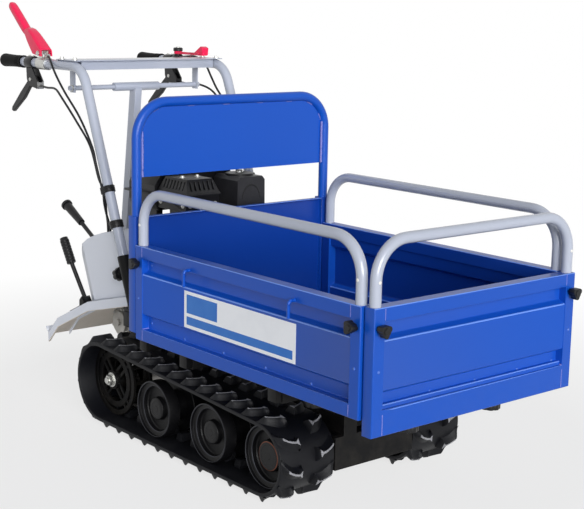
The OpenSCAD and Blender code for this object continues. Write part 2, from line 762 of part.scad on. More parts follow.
// Headboard: a bent tube stood in the rear posts, with a sheet welded across its upper part
module headboard() {
    bend = 88;
    axis_z = headboard_top - hoop_d / 2;
    foot_z = rear_top - 80;
    x = headboard_x;
    y = headboard_y;
    edge = y - 5;
    color(blue) {
        bent_bar([[x, -y, foot_z], [x, -y, axis_z], [x, y, axis_z], [x, y, foot_z]], bend, hoop_d / 2);
        lengthwise(x - sheet_t / 2, x + sheet_t / 2)
            polygon(concat([[-edge, headboard_sheet_z], [edge, headboard_sheet_z]],
                           arc([y - bend, axis_z - bend], bend - 5, 0, 90, 12),
                           arc([bend - y, axis_z - bend], bend - 5, 90, 180, 12)));
    }
}

// Depth and height along a pressed sheet: two recessed bands and a raised middle
function pressing(z0, z1) =
    let (slope = 8, proud = 2)
    [[band_depth, z0 - 2], [band_depth, z0 + band_h - slope], [proud, z0 + band_h],
     [proud, z1 - band_h], [band_depth, z1 - band_h + slope], [band_depth, z1 + 2]];
function pressed_outline(z0, z1, face, sign) =
    let (p = pressing(z0, z1), n = len(p))
    concat([for (q = p) [face - sign * q[0], q[1]]],
           [for (i = [n - 1 : -1 : 0]) [face - sign * (p[i][0] + sheet_t), p[i][1]]]);

// Left side panel: posts, rails, pressed sheet, rope hooks and the two slide tubes
module side_panel() {
    rail = post;
    hook_r = 4;
    hook_out = 16;
    hook_z = panel_top - 25;
    half = slide_tube / 2;
    color(blue) difference() {
        union() {
            for (x = [side_rear, side_front - post])
                box([x, x + post], [side_in, side_y], [side_z, panel_top]);
            box([side_rear + 1, side_front - 1], [side_in, side_y], [panel_top - rail, panel_top]);
            box([side_rear + 1, side_front - 1], [side_in, side_y], [side_z, side_z + rail]);
            lengthwise(side_rear + post - 1, side_front - post + 1)
                polygon(pressed_outline(side_z + rail, panel_top - rail, side_y, 1));
            for (x = [side_rear + 230, side_rear + 612])
                bent_bar([[x, side_y - 4, hook_z], [x, side_y + hook_out, hook_z],
                          [x, side_y + hook_out, hook_z - 38]], 8, hook_r);
            for (x = [cross_guide_x, rear_guide_x]) {
                box([x - half, x + half], [guide_end - slide_in, side_in + 13],
                    [guide_z - half, guide_z + half]);
                box([x - half, x + half], [side_in + 0.5, side_in + 13], [guide_z, side_z + 2]);
            }
        }
        for (x = [leg_rear_x, leg_front_x]) {
            translate([x, side_leg_y, panel_top - socket_depth])
                cylinder(h = socket_depth + 1, r = socket_d / 2);
            along_y([x, side_leg_y, knob_z]) cylinder(h = post, r = 4 + run_fit);
        }
    }
}

module right_panel() { on_left(false) side_panel(); }
module left_panel() { on_left(true) side_panel(); }

// Front panel: posts, rails, pressed sheet and the two slide tubes
module front_panel() {
    half_w = front_w / 2;
    half = slide_tube / 2;
    color(blue) difference() {
        union() {
            both_sides() {
                box([front_in, box_front], [half_w - post, half_w], [front_z, panel_top]);
                box([front_in - front_slide_in, front_in + 10],
                    [front_guide_y - half, front_guide_y + half], [guide_z - half, guide_z + half]);
            }
            box([front_in, box_front], [1 - half_w, half_w - 1], [panel_top - post, panel_top]);
            box([front_in, box_front], [1 - half_w, half_w - 1], [front_z, front_z + front_sill]);
            box([front_in + 10, box_front - 8], [post - half_w, half_w - post],
                [front_z + front_sill - 1, front_z + front_sill + 9]);
            across(post - half_w - 1, half_w - post + 1)
                polygon(pressed_outline(front_z + front_sill, panel_top - post, box_front, 1));
        }
        both_sides() {
            translate([front_leg_x, front_leg_y, panel_top - socket_depth])
                cylinder(h = socket_depth + 1, r = socket_d / 2);
            along_x([front_leg_x, front_leg_y, knob_z]) cylinder(h = post, r = 4 + run_fit);
        }
    }
}

// Tubular hoops that stand in the panels' posts
module hoop(a, b) {
    up = [0, 0, hoop_axis_z];
    down = [0, 0, hoop_foot_z];
    path = [a + down, a + up, b + up, b + down];
    long = [a + down - [0, 0, 1], a + up, b + up, b + down - [0, 0, 1]];
    color(silver_grey) difference() {
        bent_bar(path, hoop_bend, hoop_d / 2);
        bent_bar(long, hoop_bend, hoop_d / 2 - hoop_wall);
    }
}

module right_hoop() { on_left(false) left_hoop(); }
module left_hoop() { hoop([leg_rear_x, side_leg_y, 0], [leg_front_x, side_leg_y, 0]); }
module front_hoop() { hoop([front_leg_x, -front_leg_y, 0], [front_leg_x, front_leg_y, 0]); }

// Hand knobs that clamp the hoop legs
knob_stud = post / 2 - hoop_d / 2 - slide_fit;
module hoop_knob() { color(plastic_black) lobed_knob(knob_d, 3, 16, 6, 4, knob_stud); }
module side_knob(x) { along_y([x, side_y + seat, knob_z]) hoop_knob(); }
module front_knob() { along_x([box_front + seat, front_leg_y, knob_z]) hoop_knob(); }
module right_rear_knob() { on_left(false) side_knob(leg_rear_x); }
module left_rear_knob() { on_left(true) side_knob(leg_rear_x); }
module right_front_knob() { on_left(false) side_knob(leg_front_x); }
module left_front_knob() { on_left(true) side_knob(leg_front_x); }
module front_right_knob() { on_left(false) front_knob(); }
module front_left_knob() { on_left(true) front_knob(); }

// Round knobs under the bed that clamp the slide tubes
module clamp_knob(x, y) {
    stud = guide_wall + guide_gap - slide_fit;
    color(plastic_black) translate([x, y, guide_z - guide / 2 - seat]) mirror([0, 0, 1])
        lobed_knob(clamp_d, 8, 14, 14, 4, stud);
}

module right_clamp_knob() { clamp_knob(cross_guide_x, -clamp_y); }
module left_clamp_knob() { clamp_knob(cross_guide_x, clamp_y); }
module front_right_clamp_knob() { clamp_knob(clamp_x, -front_guide_y); }
module front_left_clamp_knob() { clamp_knob(clamp_x, front_guide_y); }

// The two bars, each bent once between its socket and its grip
function bar_path(low_z, end_x) =
    [[bar_x(low_z), bar_y, low_z], [bar_x(grip_z), bar_y, grip_z], [end_x, bar_y, grip_z]];

module handlebar() {
    cap = 6;
    color(silver_grey) both_sides() difference() {
        bent_bar(bar_path(bar_low_z, grip_end + cap), bend_r, bar_d / 2);
        bent_bar(bar_path(bar_low_z - 2, grip_end + cap - 2), bend_r, bar_d / 2 - bar_wall);
    }
}

module grips() {
    color(rubber_black) both_sides() difference() {
        union() {
            along_x([grip_end, bar_y, grip_z]) cylinder(h = grip_len, r = grip_d / 2 - 1);
            along_x([grip_end, bar_y, grip_z]) cylinder(h = 16, r = grip_d / 2);
            along_x([grip_end + grip_len - 6, bar_y, grip_z]) cylinder(h = 6, r = grip_d / 2);
        }
        along_x([grip_end + 5, bar_y, grip_z]) cylinder(h = grip_len, r = bar_d / 2 + 0.1);
    }
}

// Channel shelf bolted across the bars, with the hangers and the rod that carries the brace
module bar_shelf() {
    x = [-535, -435];
    t = 2.5;
    half = bar_y - bar_d / 2 - 3;
    hang_y = bar_y - 32;
    color(silver_grey) {
        box(x, [-bar_y - 10, bar_y + 10], [shelf_z, shelf_z + t]);
        for (edge = [x[0], x[1] - t - 10])
            box([edge, edge + t], [-half, half], [shelf_z - 24, shelf_z + 1]);
        both_sides() box([rod_x - 12, rod_x + 12], [hang_y, hang_y + 4], [rod_z - 12, shelf_z + 1]);
        along_y([rod_x, -hang_y - 14, rod_z]) cylinder(h = 2 * hang_y + 28, r = 7);
    }
}

// Brace: a tube that hangs from a sleeve on the rod and slides over a foot on the guard
brace_run = [brace_pivot_x - rod_x, brace_pivot_z - rod_z];
brace_len = norm(brace_run);
brace_lean = atan(brace_run[0] / brace_run[1]);

module brace_tube() {
    tube_len = 480;
    x = 15;
    y = 11;
    wall = 3;
    sleeve = 75;
    color(silver_grey) difference() {
        union() {
            along_y([rod_x, -sleeve, rod_z]) cylinder(h = 2 * sleeve, r = 12);
            translate([rod_x, 0, rod_z]) rotate([0, brace_lean, 0]) box([-x, x], [-y, y], [-tube_len, -4]);
        }
        translate([rod_x, 0, rod_z]) rotate([0, brace_lean, 0])
            box([wall - x, x - wall], [wall - y, y - wall], [-tube_len - 1, -22]);
        along_y([rod_x, -sleeve - 1, rod_z]) cylinder(h = 2 * sleeve + 2, r = 7 + run_fit);
    }
}

module brace_foot() {
    color(frame_black) difference() {
        union() {
            along_y([brace_pivot_x, -hub_half, brace_pivot_z]) cylinder(h = 2 * hub_half, r = 11);
            translate([brace_pivot_x, 0, brace_pivot_z]) rotate([0, brace_lean, 0])
                box([-9, 9], [-5, 5], [4, 330]);
        }
        along_y([brace_pivot_x, -hub_half - 1, brace_pivot_z])
            cylinder(h = 2 * hub_half + 2, r = pin_r + run_fit);
    }
}

// Clamps and pivot pins of the hand levers
clutch_half = 18;
steer_half = 5.5;
lever_pin_r = 3;

module bar_clamp(x0, x1) {
    along_x([x0, bar_y, grip_z]) difference() {
        cylinder(h = x1 - x0, r = bar_d / 2 + 4);
        translate([0, 0, -1]) cylinder(h = x1 - x0 + 2, r = bar_d / 2 + 0.1);
    }
}

module steering_mount() {
    cheek = [steer_half + 1, steer_half + 5];
    stop_x = -640;
    bar_clamp(-704, -668);
    for (side = [-1, 1])
        across(bar_y + (side < 0 ? -cheek[1] : cheek[0]), bar_y + (side < 0 ? -cheek[0] : cheek[1]))
            polygon([[-702, grip_z - 15], [-670, grip_z - 15], [stop_x, 900], [stop_x, 880],
                     [-668, 884], [-692, 890], [-700, 906]]);
    box([stop_x - 6, stop_x], [bar_y - cheek[1], bar_y + cheek[1]], [880, 898]);
    along_y([steer_pivot[0], bar_y - cheek[1], steer_pivot[1]]) cylinder(h = 2 * cheek[1], r = lever_pin_r);
}

module lever_mounts() {
    color(plastic_black) {
        both_sides() steering_mount();
        mirror([0, 1, 0]) {
            bar_clamp(-640, -594);
            for (y = [bar_y - 10, bar_y + 6])
                box([-630, -612], [y, y + 4], [grip_z + 14, clutch_pivot[1] + 6]);
            box([-600, -594], [bar_y - 6, bar_y + 6], [grip_z + 14, grip_z + 26]);
            along_y([clutch_pivot[0], bar_y - clutch_half, clutch_pivot[1]])
                cylinder(h = 2 * clutch_half, r = lever_pin_r);
        }
        bar_clamp(throttle_pivot[0] - 17, throttle_pivot[0] + 17);
        translate([throttle_pivot[0], bar_y, grip_z + bar_d / 2 + 1])
            cylinder(h = throttle_pivot[1] - grip_z - bar_d / 2 - 1, r = 12);
        translate([throttle_pivot[0], bar_y, throttle_pivot[1] - 1]) cylinder(h = 13, r = 4);
    }
}

// Clutch lever: a pressed channel that closes down over the right grip
module clutch_lever() {
    hood = [[-650, 976], [-603, 972], [-609, 996], [-642, 1020], [-678, 1046], [-700, 1049],
            [-713, 1041], [-701, 1025]];
    handle = [[-684, 1030], [-706, 1031], [-724, 1037], [-762, 1063], [-812, 1108], [-810, 1118],
              [-800, 1122], [-789, 1119], [-718, 1060], [-690, 1040]];
    handle_half = 10;
    t = 3;
    color(lever_red) mirror([0, 1, 0]) difference() {
        union() {
            difference() {
                across(bar_y - clutch_half, bar_y + clutch_half) polygon(hood);
                across(bar_y - clutch_half + t, bar_y + clutch_half - t) translate([-2, -5]) polygon(hood);
            }
            across(bar_y - handle_half, bar_y + handle_half) polygon(handle);
        }
        along_y([clutch_pivot[0], bar_y - 30, clutch_pivot[1]]) cylinder(h = 60, r = lever_pin_r + run_fit);
    }
}

// Steering lever: a cast finger lever below the grip, pulled up to turn the machine
module steering_lever() {
    color(plastic_black) difference() {
        across(bar_y - steer_half, bar_y + steer_half)
            polygon([[-666, 912], [-688, 914], [-748, 866], [-800, 820], [-803, 810], [-794, 806],
                     [-728, 850], [-692, 886], [-662, 888], [-654, 900]]);
        along_y([steer_pivot[0], bar_y - 20, steer_pivot[1]]) cylinder(h = 40, r = lever_pin_r + run_fit);
    }
}

module right_steering_lever() { on_left(false) steering_lever(); }
module left_steering_lever() { on_left(true) steering_lever(); }

// Throttle lever: a flat paddle on top of the left bar
module throttle_lever() {
    x = throttle_pivot[0];
    color(lever_red) translate([0, bar_y, throttle_pivot[1] + seat]) difference() {
        union() {
            linear_extrude(7)
                polygon([[x, -9], [x + 60, -8], [x + 128, -14], [x + 139, -6], [x + 139, 6],
                         [x + 128, 12], [x + 60, 8], [x, 9]]);
            across(-11, 11)
                polygon([[x + 92, 4], [x + 124, 1], [x + 138, 1], [x + 141, 22], [x + 129, 27],
                         [x + 108, 14]]);
            translate([x, 0, 0]) cylinder(h = 9, r = 12);
        }
        translate([x, 0, -1]) cylinder(h = 12, r = 4 + run_fit);
    }
}

// Floor levers: a rod on a pivot hub, with a moulded grip
module floor_lever(pivot, y, path, bend) {
    difference() {
        union() {
            along_y([pivot[0], y - hub_half, pivot[1]]) cylinder(h = 2 * hub_half, r = 11);
            bent_bar([for (p = path) [p[0], y, p[1]]], bend, 6);
            children();
        }
        along_y([pivot[0], y - hub_half - 1, pivot[1]]) cylinder(h = 2 * hub_half + 2, r = pin_r + run_fit);
    }
}

module gear_lever() {
    knee = [-500, 462];
    grip_from = [-572, 501];
    grip_to = [-653, 542];
    d = unit(grip_to - grip_from);
    color(plastic_black)
        floor_lever(gear_pivot, gear_y, [gear_pivot + [-5, 9], knee, grip_from + 4 * d], 40)
            translate([grip_from[0], gear_y, grip_from[1]]) rotate([0, atan2(d[0], d[1]), 0]) {
                cylinder(h = norm(grip_to - grip_from), r1 = 10, r2 = 13);
                translate([0, 0, norm(grip_to - grip_from) - 4]) cylinder(h = 8, r = 16);
            }
}

module tip_lever() {
    grip_from = [-525, 398];
    grip_to = [-567, 463];
    d = unit(grip_to - grip_from);
    rib = 9;
    color(plastic_black)
        floor_lever(tip_pivot, tip_y, [tip_pivot + [-5, 8], grip_from + 4 * d], 0)
            translate([grip_from[0], tip_y, grip_from[1]]) rotate([0, atan2(d[0], d[1]), 0]) {
                cylinder(h = norm(grip_to - grip_from), r = 11.5);
                for (i = [0 : 7]) translate([0, 0, 1 + i * rib]) cylinder(h = 6, r = 13);
            }
}

// Control cables: round points along each route, swept with eight sides
cable_r = 3;
clutch_route = [[-594, -236, 972], [-566, -248, 968], [-538, -256, 948], [-512, -256, 918],
    [-475, -254, 880], [-403, -252, 818], [-345, -250, 745], [-326, -250, 700], [-301.7, -249, 643.7],
    [-293.4, -249, 623.3], [-296, -245, 600], [-305, -233, 570], [-318, -217, 543], [-328, -206, 516],
    [-333, -200, 495], [-336, -198, 478]];
right_steer_route = [[-640, -236, 889], [-600, -238, 886], [-545, -244, 886], [-490, -256, 866],
    [-416, -254, 806], [-358, -248, 745], [-320, -246, 662], [-306.3, -239, 641.8], [-298.1, -239, 621.4],
    [-304, -235, 598], [-318, -224, 566], [-334, -211, 538], [-345, -203, 513], [-350, -198.5, 494],
    [-352, -197, 476]];
throttle_route = [[-628, 247, 965], [-580, 256, 966], [-535, 258, 945], [-505, 257, 912], [-470, 254, 876],
    [-403, 252, 818], [-345, 250, 745], [-326, 250, 700], [-301.7, 249, 643.7], [-293.4, 249, 623.3],
    [-292, 250, 601], [-297, 245, 578], [-304, 230, 564], [-302, 212, 562], [-285, 204, 572],
    [-255, 203, 595], [-226, 197, 609], [-202, 182, 615], [-192, 165, 616], [-192, 150.3, 616]];
left_steer_route = [[-640, 236, 889], [-600, 238, 886], [-545, 244, 886], [-490, 256, 866], [-416, 254, 806],
    [-358, 248, 745], [-320, 246, 662], [-306.3, 239, 641.8], [-298.1, 239, 621.4], [-304, 237, 598],
    [-316, 230, 566], [-332, 218, 530], [-350, 195, 470], [-362, 170, 420], [-370, 130, 370],
    [-373, 88, 338], [-374, 71, 317], [-374, 70, 300.3]];

module cable(p) {
    sides = 8;
    n = len(p) - 1;
    along = [for (i = [0 : n]) unit(p[min(i + 1, n)] - p[max(i - 1, 0)])];
    side = [for (t = along) unit(cross([0.3, 1, 0.2], t))];
    rings = [for (i = [0 : n], k = [0 : sides - 1])
        let (a = k * 360 / sides)
        p[i] + cable_r * (cos(a) * side[i] + sin(a) * cross(along[i], side[i]))];
    walls = [for (i = [0 : n - 1], k = [0 : sides - 1])
        let (a = i * sides + k, b = i * sides + (k + 1) % sides)
        each [[a, a + sides, b], [b, a + sides, b + sides]]];
    caps = [[for (k = [0 : sides - 1]) k], [for (k = [sides - 1 : -1 : 0]) n * sides + k]];
    polyhedron(rings, concat(walls, caps));
}

module cables() {
    color(plastic_black) {
        cable(clutch_route);
        cable(right_steer_route);
        cable(throttle_route);
        cable(left_steer_route);
    }
}

// Rubber bands round the bars: the upper ones hold the cables as well
module cable_bands() {
    band_len = 18;
    wall = 2.5;
    slack = 1.4;
    // How far each cable lies behind and outside the bar's axis
    seats = [[12, 13], [17, 3]];
    color(rubber_black) both_sides() {
        at_bar(638) rotate([0, -bar_lean, 0]) difference() {
            hull() {
                cylinder(h = band_len, r = bar_d / 2 + wall, center = true, $fn = 32);
                for (s = seats)
                    translate([-s[0], s[1], 0])
                        cylinder(h = band_len, r = cable_r + slack + 1, center = true, $fn = 32);
            }
            cylinder(h = band_len + 2, r = bar_d / 2 + 0.1, center = true);
            for (s = seats)
                translate([-s[0], s[1], 0]) cylinder(h = band_len + 2, r = cable_r + slack, center = true);
        }
        at_bar(549) rotate([0, -bar_lean, 0]) difference() {
            cylinder(h = band_len + 2, r = bar_d / 2 + wall + 2, center = true);
            cylinder(h = band_len + 4, r = bar_d / 2 + 0.1, center = true);
        }
    }
}

main_frame();
engine_deck();
right_track();
left_track();
gearbox();
engine_block();
muffler_guard();
air_box();
fuel_tank();
belt_cover();
rear_guard();
handlebar_sockets();
drive_belt();
lever_stands();
right_sprocket();
left_sprocket();
right_rear_wheel();
left_rear_wheel();
right_front_wheel();
left_front_wheel();
right_idler();
left_idler();
bed_frame();
bed_floor();
rear_panel();
headboard();
right_panel();
left_panel();
front_panel();
right_hoop();
left_hoop();
front_hoop();
right_rear_knob();
right_front_knob();
left_rear_knob();
left_front_knob();
front_right_knob();
front_left_knob();
right_clamp_knob();
left_clamp_knob();
front_right_clamp_knob();
front_left_clamp_knob();
handlebar();
bar_shelf();
grips();
cables();
cable_bands();
lever_mounts();
brace_tube();
brace_foot();
right_bar_knob();
left_bar_knob();
clutch_lever();
right_steering_lever();
left_steering_lever();
throttle_lever();
gear_lever();
tip_lever();
engine_pulley();
gearbox_pulley();
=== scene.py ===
import json
import math
import random

import bmesh
import bpy
from mathutils import Matrix, Vector

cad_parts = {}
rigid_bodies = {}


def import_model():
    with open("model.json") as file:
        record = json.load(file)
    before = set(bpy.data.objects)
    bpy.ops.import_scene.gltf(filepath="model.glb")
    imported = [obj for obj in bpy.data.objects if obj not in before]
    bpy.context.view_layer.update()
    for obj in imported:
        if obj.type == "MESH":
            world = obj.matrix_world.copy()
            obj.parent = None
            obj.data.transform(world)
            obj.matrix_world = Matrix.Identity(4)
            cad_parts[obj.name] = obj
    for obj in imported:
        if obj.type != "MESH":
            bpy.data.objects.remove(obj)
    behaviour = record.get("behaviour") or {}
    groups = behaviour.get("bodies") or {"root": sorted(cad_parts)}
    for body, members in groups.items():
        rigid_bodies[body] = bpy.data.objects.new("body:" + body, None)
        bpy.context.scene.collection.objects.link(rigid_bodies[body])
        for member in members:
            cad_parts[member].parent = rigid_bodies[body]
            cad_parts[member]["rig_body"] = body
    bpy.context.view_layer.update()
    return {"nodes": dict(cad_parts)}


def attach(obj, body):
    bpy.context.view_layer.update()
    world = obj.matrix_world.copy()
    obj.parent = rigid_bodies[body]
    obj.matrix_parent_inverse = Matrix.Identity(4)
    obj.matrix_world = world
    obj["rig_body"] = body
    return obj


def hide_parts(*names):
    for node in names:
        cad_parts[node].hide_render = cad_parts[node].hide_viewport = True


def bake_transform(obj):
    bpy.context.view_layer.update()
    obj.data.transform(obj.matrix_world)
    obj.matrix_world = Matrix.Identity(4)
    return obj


for leftover in list(bpy.data.objects):
    bpy.data.objects.remove(leftover)
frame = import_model()

# Welded chassis: beams, track beams, axles, deck and sockets of steel box section, sprayed satin
# black after welding. Dust settles low down, and the paint has a faint orange peel.
MM = 0.001


class Wire:
    """One output of a shader node. Python's operators add Math nodes after it."""

    def __init__(self, tree, socket):
        self.tree, self.socket = tree, socket

    def node(self, kind, settings=None, inputs=None, out=0):
        made = self.tree.nodes.new(kind)
        for key, value in (settings or {}).items():
            if key == "stops":
                ramp = made.color_ramp
                while len(ramp.elements) < len(value):
                    ramp.elements.new(0.5)
                for element, (place, shade) in zip(ramp.elements, value):
                    element.position = place
                    element.color = (shade, shade, shade, 1)
            else:
                setattr(made, key, value)
        for key, value in (inputs or {}).items():
            if isinstance(value, Wire):
                self.tree.links.new(value.socket, made.inputs[key])
            else:
                made.inputs[key].default_value = value
        return Wire(self.tree, made.outputs[out])

    def math(self, operation, first, second):
        return self.node("ShaderNodeMath", {"operation": operation}, {0: first, 1: second})

    def __add__(self, other):
        return self.math("ADD", self, other)

    def __radd__(self, other):
        return self.math("ADD", other, self)

    def __sub__(self, other):
        return self.math("SUBTRACT", self, other)

    def __rsub__(self, other):
        return self.math("SUBTRACT", other, self)

    def __mul__(self, other):
        return self.math("MULTIPLY", self, other)


def shade(red, green, blue):
    """A colour as it is read on a screen, as the shader wants it."""
    linear = [c / 12.92 if c <= 0.04045 else ((c + 0.055) / 1.055) ** 2.4
              for c in (red / 255, green / 255, blue / 255)]
    return (*linear, 1)


def new_finish(name, **fixed):
    """A new material with its shader, and the place on the piece for its patterns."""
    material = bpy.data.materials.new(name)
    material.use_nodes = True
    tree = material.node_tree
    shader = tree.nodes["Principled BSDF"]
    for socket, value in fixed.items():
        shader.inputs[socket.replace("_", " ")].default_value = value
    place = Wire(tree, tree.nodes.new("ShaderNodeTexCoord").outputs["Object"])
    return material, shader, place


def feed(wire, shader, socket):
    wire.tree.links.new(wire.socket, shader.inputs[socket])


def noise(place, scale, detail=3, rough=0.5):
    return place.node("ShaderNodeTexNoise", None,
                      {"Vector": place, "Scale": scale, "Detail": detail, "Roughness": rough})


def band(wire, low, high):
    """0 below low, 1 above high."""
    return wire.node("ShaderNodeValToRGB", {"stops": [(low, 0), (high, 1)]}, {0: wire})


def tint(mask, under, over):
    """One colour where the mask is 0, the other where it is 1."""
    return mask.node("ShaderNodeMix", {"data_type": "RGBA"}, {0: mask, 6: under, 7: over}, 2)


def roughen(wire, shader, strength, depth):
    feed(wire.node("ShaderNodeBump", None, {"Strength": strength, "Distance": depth, "Height": wire}),
         shader, "Normal")


def height_of(place):
    return place.node("ShaderNodeSeparateXYZ", None, {0: place}, 2)


def sprayed(name, colour, worn, rough, peel=0.04, dust=0.25, coat=0.0, mirror=0.35):
    """Sprayed paint: cloudy tone, orange peel, fine specks and dust that thickens downwards."""
    material, shader, at = new_finish(name, Coat_Roughness=0.12, Specular_IOR_Level=mirror)
    cloud = band(noise(at, 3, 2), 0.2, 0.8)
    speck = band(noise(at, 260, 2), 0.66, 0.74)
    low = 1 - band(height_of(at) * 2.2, 0.05, 0.9)
    grime = low * band(noise(at, 22, 6, 0.65), 0.42, 0.7) * dust
    base = tint(cloud * 0.3, colour, worn)
    base = tint(speck * 0.1, base, worn)
    feed(tint(grime, base, shade(142, 134, 122)), shader, "Base Color")
    feed(rough + cloud * 0.06 + grime * 0.5, shader, "Roughness")
    shader.inputs["Coat Weight"].default_value = coat
    roughen(noise(at, 900, 2), shader, peel, 0.0004)
    return material


black_paint = sprayed("black_paint", shade(7, 7, 8), shade(14, 14, 16), 0.42, dust=0.05, mirror=0.15)


def to_piece(work, name, finishes, body, stands_for=(), sharp=32):
    """Turns a mesh made in millimetres into a piece that rides on a body."""
    bmesh.ops.remove_doubles(work, verts=work.verts, dist=0.0005)
    bmesh.ops.recalc_face_normals(work, faces=work.faces)
    level = work.faces.layers.int.get("level")
    curved = [len(face.verts) < 5 and not (level and face[level]) for face in work.faces]
    mesh = bpy.data.meshes.new(name)
    work.to_mesh(mesh)
    work.free()
    mesh.transform(Matrix.Scale(MM, 4))
    for finish in finishes if isinstance(finishes, (list, tuple)) else [finishes]:
        mesh.materials.append(finish)
    mesh.set_sharp_from_angle(angle=math.radians(sharp))
    mesh.polygons.foreach_set("use_smooth", curved)
    piece = bpy.data.objects.new(name, mesh)
    bpy.context.scene.collection.objects.link(piece)
    if body:
        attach(piece, body)
    if stands_for:
        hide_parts(*stands_for)
    return piece


def relaid(work):
    """Fills a solid's flat faces anew where they are made of several that join, as the joins can
    cross once the edges are rounded. The new faces are marked as level; a face that doesn't close
    that way is put back."""
    level = work.faces.layers.int.new("level")
    joins = set()
    for edge in work.edges:
        if len(edge.link_faces) == 2:
            turn = edge.calc_face_angle(1)
            if min(turn, math.pi - turn) < math.radians(0.3):
                joins.add(edge)
    seen, groups = set(), []
    for first in work.faces:
        if len(first.verts) < 5 or first in seen:
            continue
        group, waiting = {first}, [first]
        while waiting:
            for edge in waiting.pop().edges:
                for face in edge.link_faces if edge in joins else ():
                    if face not in group:
                        group.add(face)
                        waiting.append(face)
        seen |= group
        if len(group) > 1:
            groups.append(group)
    for group in groups:
        way = max(group, key=lambda face: face.calc_area()).normal.copy()
        outlines = [list(face.verts) for face in group]
        edges = {edge for face in group for edge in face.edges}
        rim = [edge for edge in edges if edge not in joins]
        for face in group:
            work.faces.remove(face)
        for edge in edges.difference(rim):
            work.edges.remove(edge)
        made = bmesh.ops.triangle_fill(work, use_beauty=True, use_dissolve=False, normal=way,
                                       edges=rim)["geom"]
        new = [item for item in made if isinstance(item, bmesh.types.BMFace)]
        bmesh.ops.recalc_face_normals(work, faces=new)
        closed = all(len(edge.link_faces) == 2 for edge in rim)
        if closed and len({edge.is_contiguous for edge in rim}) == 1:
            for face in new:
                face[level] = 1
            continue
        for face in new:
            work.faces.remove(face)
        for item in made:
            spare = isinstance(item, bmesh.types.BMEdge) and item.is_valid and item not in edges
            if spare and not item.link_faces:
                work.edges.remove(item)
        for outline in outlines:
            work.faces.new(outline)
    bmesh.ops.delete(work, geom=[vert for vert in work.verts if not vert.link_edges], context="VERTS")


def softened(node, width, finish, segments=2, bend=26, clamp=False, pick=None, wide=None):
    """A copy of a solid with its sharp edges rounded, which stands for the solid. Where a solid has
    two finishes, pick says for a face's middle and normal which of them it has. wide gives a larger
    radius, says for an edge's two ends whether it takes that first, and gives the finish of those
    edges where they face upwards: a lighter paint that stands for edge wear and a painted highlight."""
    solid = frame["nodes"][node]
    work = bmesh.new()
    work.from_mesh(solid.data)
    bmesh.ops.scale(work, vec=(1 / MM,) * 3, verts=work.verts)
    bmesh.ops.remove_doubles(work, verts=work.verts, dist=0.002)
    bmesh.ops.dissolve_limit(work, angle_limit=math.radians(0.5), verts=work.verts, edges=work.edges)
    wear_and_highlight = work.faces.layers.int.new("wear_and_highlight")
    if wide:
        chosen = [e for e in work.edges if e.is_manifold and e.calc_face_angle(0) > math.radians(bend)
                  and wide[1](e.verts[0].co, e.verts[1].co)]
        raised = {e: e.is_convex for e in chosen}
        for outer in (True, False):
            made = bmesh.ops.bevel(work, geom=[e for e in chosen if e.is_valid and raised[e] == outer],
                                   offset=wide[0], offset_type="OFFSET", segments=5, profile=0.5,
                                   affect="EDGES", clamp_overlap=False)
            for face in made["faces"]:
                # Upward faces of the convex wide bevels are marked for the lighter edge paint: edge wear and
                # a painted highlight.
                face[wear_and_highlight] = int(outer and face.normal.z > 0.3)
    hard = [e for e in work.edges if e.is_manifold and e.calc_face_angle(0) > math.radians(bend)]
    if width:
        bmesh.ops.bevel(work, geom=hard, offset=width, offset_type="OFFSET", segments=segments,
                        profile=0.5, affect="EDGES", clamp_overlap=clamp)
    relaid(work)
    if pick:
        bmesh.ops.recalc_face_normals(work, faces=work.faces)
        for face in work.faces:
            face.material_index = wide[2] if face[wear_and_highlight] else pick(face.calc_center_median(), face.normal)
    return to_piece(work, node + "_shell", finish, solid["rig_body"], (node,))


for part in ("main_frame", "engine_deck", "handlebar_sockets", "lever_stands"):
    softened(part, 1.2, black_paint)

# Rubber tracks: an endless moulded belt with slanting ground lugs in two staggered rows and square
# drive lugs inside. The lug tops are scuffed grey by the ground; the rest stays black.
TRACK_Y, TRACK_W, BELT_T, LUG_H = 208.5, 160, 10, 16
SPROCKET, IDLER = (-264, 124, 108), (419, 104, 88)
RUN = IDLER[0] - SPROCKET[0]
TILT = 2 * math.atan((SPROCKET[2] - IDLER[2]) / RUN)
REAR_ARC = (SPROCKET[2] - BELT_T / 2) * (math.pi + TILT)
FRONT_ARC = (IDLER[2] - BELT_T / 2) * (math.pi - TILT)
BELT_LEN = 2 * RUN + REAR_ARC + FRONT_ARC
LUGS = 32


def on_track(s):
    """Place (x, z) and outward direction on the belt's outside, s along it from the front."""
    if s < RUN:
        return IDLER[0] - s, LUG_H, -math.pi / 2
    s -= RUN
    if s < REAR_ARC:
        a = -math.pi / 2 - s / (SPROCKET[2] - BELT_T / 2)
        return SPROCKET[0] + SPROCKET[2] * math.cos(a), SPROCKET[1] + SPROCKET[2] * math.sin(a), a
    s -= REAR_ARC
    top = math.pi / 2 - TILT
    if s < RUN:
        return (SPROCKET[0] + SPROCKET[2] * math.cos(top) + s * math.sin(top),
                SPROCKET[1] + SPROCKET[2] * math.sin(top) - s * math.cos(top), top)
    a = top - (s - RUN) / (IDLER[2] - BELT_T / 2)
    return IDLER[0] + IDLER[2] * math.cos(a), IDLER[1] + IDLER[2] * math.sin(a), a


def loft(work, rings, closed=False):
    """Skins rows of points of equal length; each row is a closed loop."""
    rows = [[work.verts.new(p) for p in ring] for ring in rings]
    pairs = list(zip(rows, rows[1:])) + ([(rows[-1], rows[0])] if closed else [])
    for one, two in pairs:
        for i in range(len(one)):
            j = (i + 1) % len(one)
            work.faces.new((one[i], one[j], two[j], two[i]))
    if not closed:
        work.faces.new(rows[0][::-1])
        work.faces.new(rows[-1])
    return rows


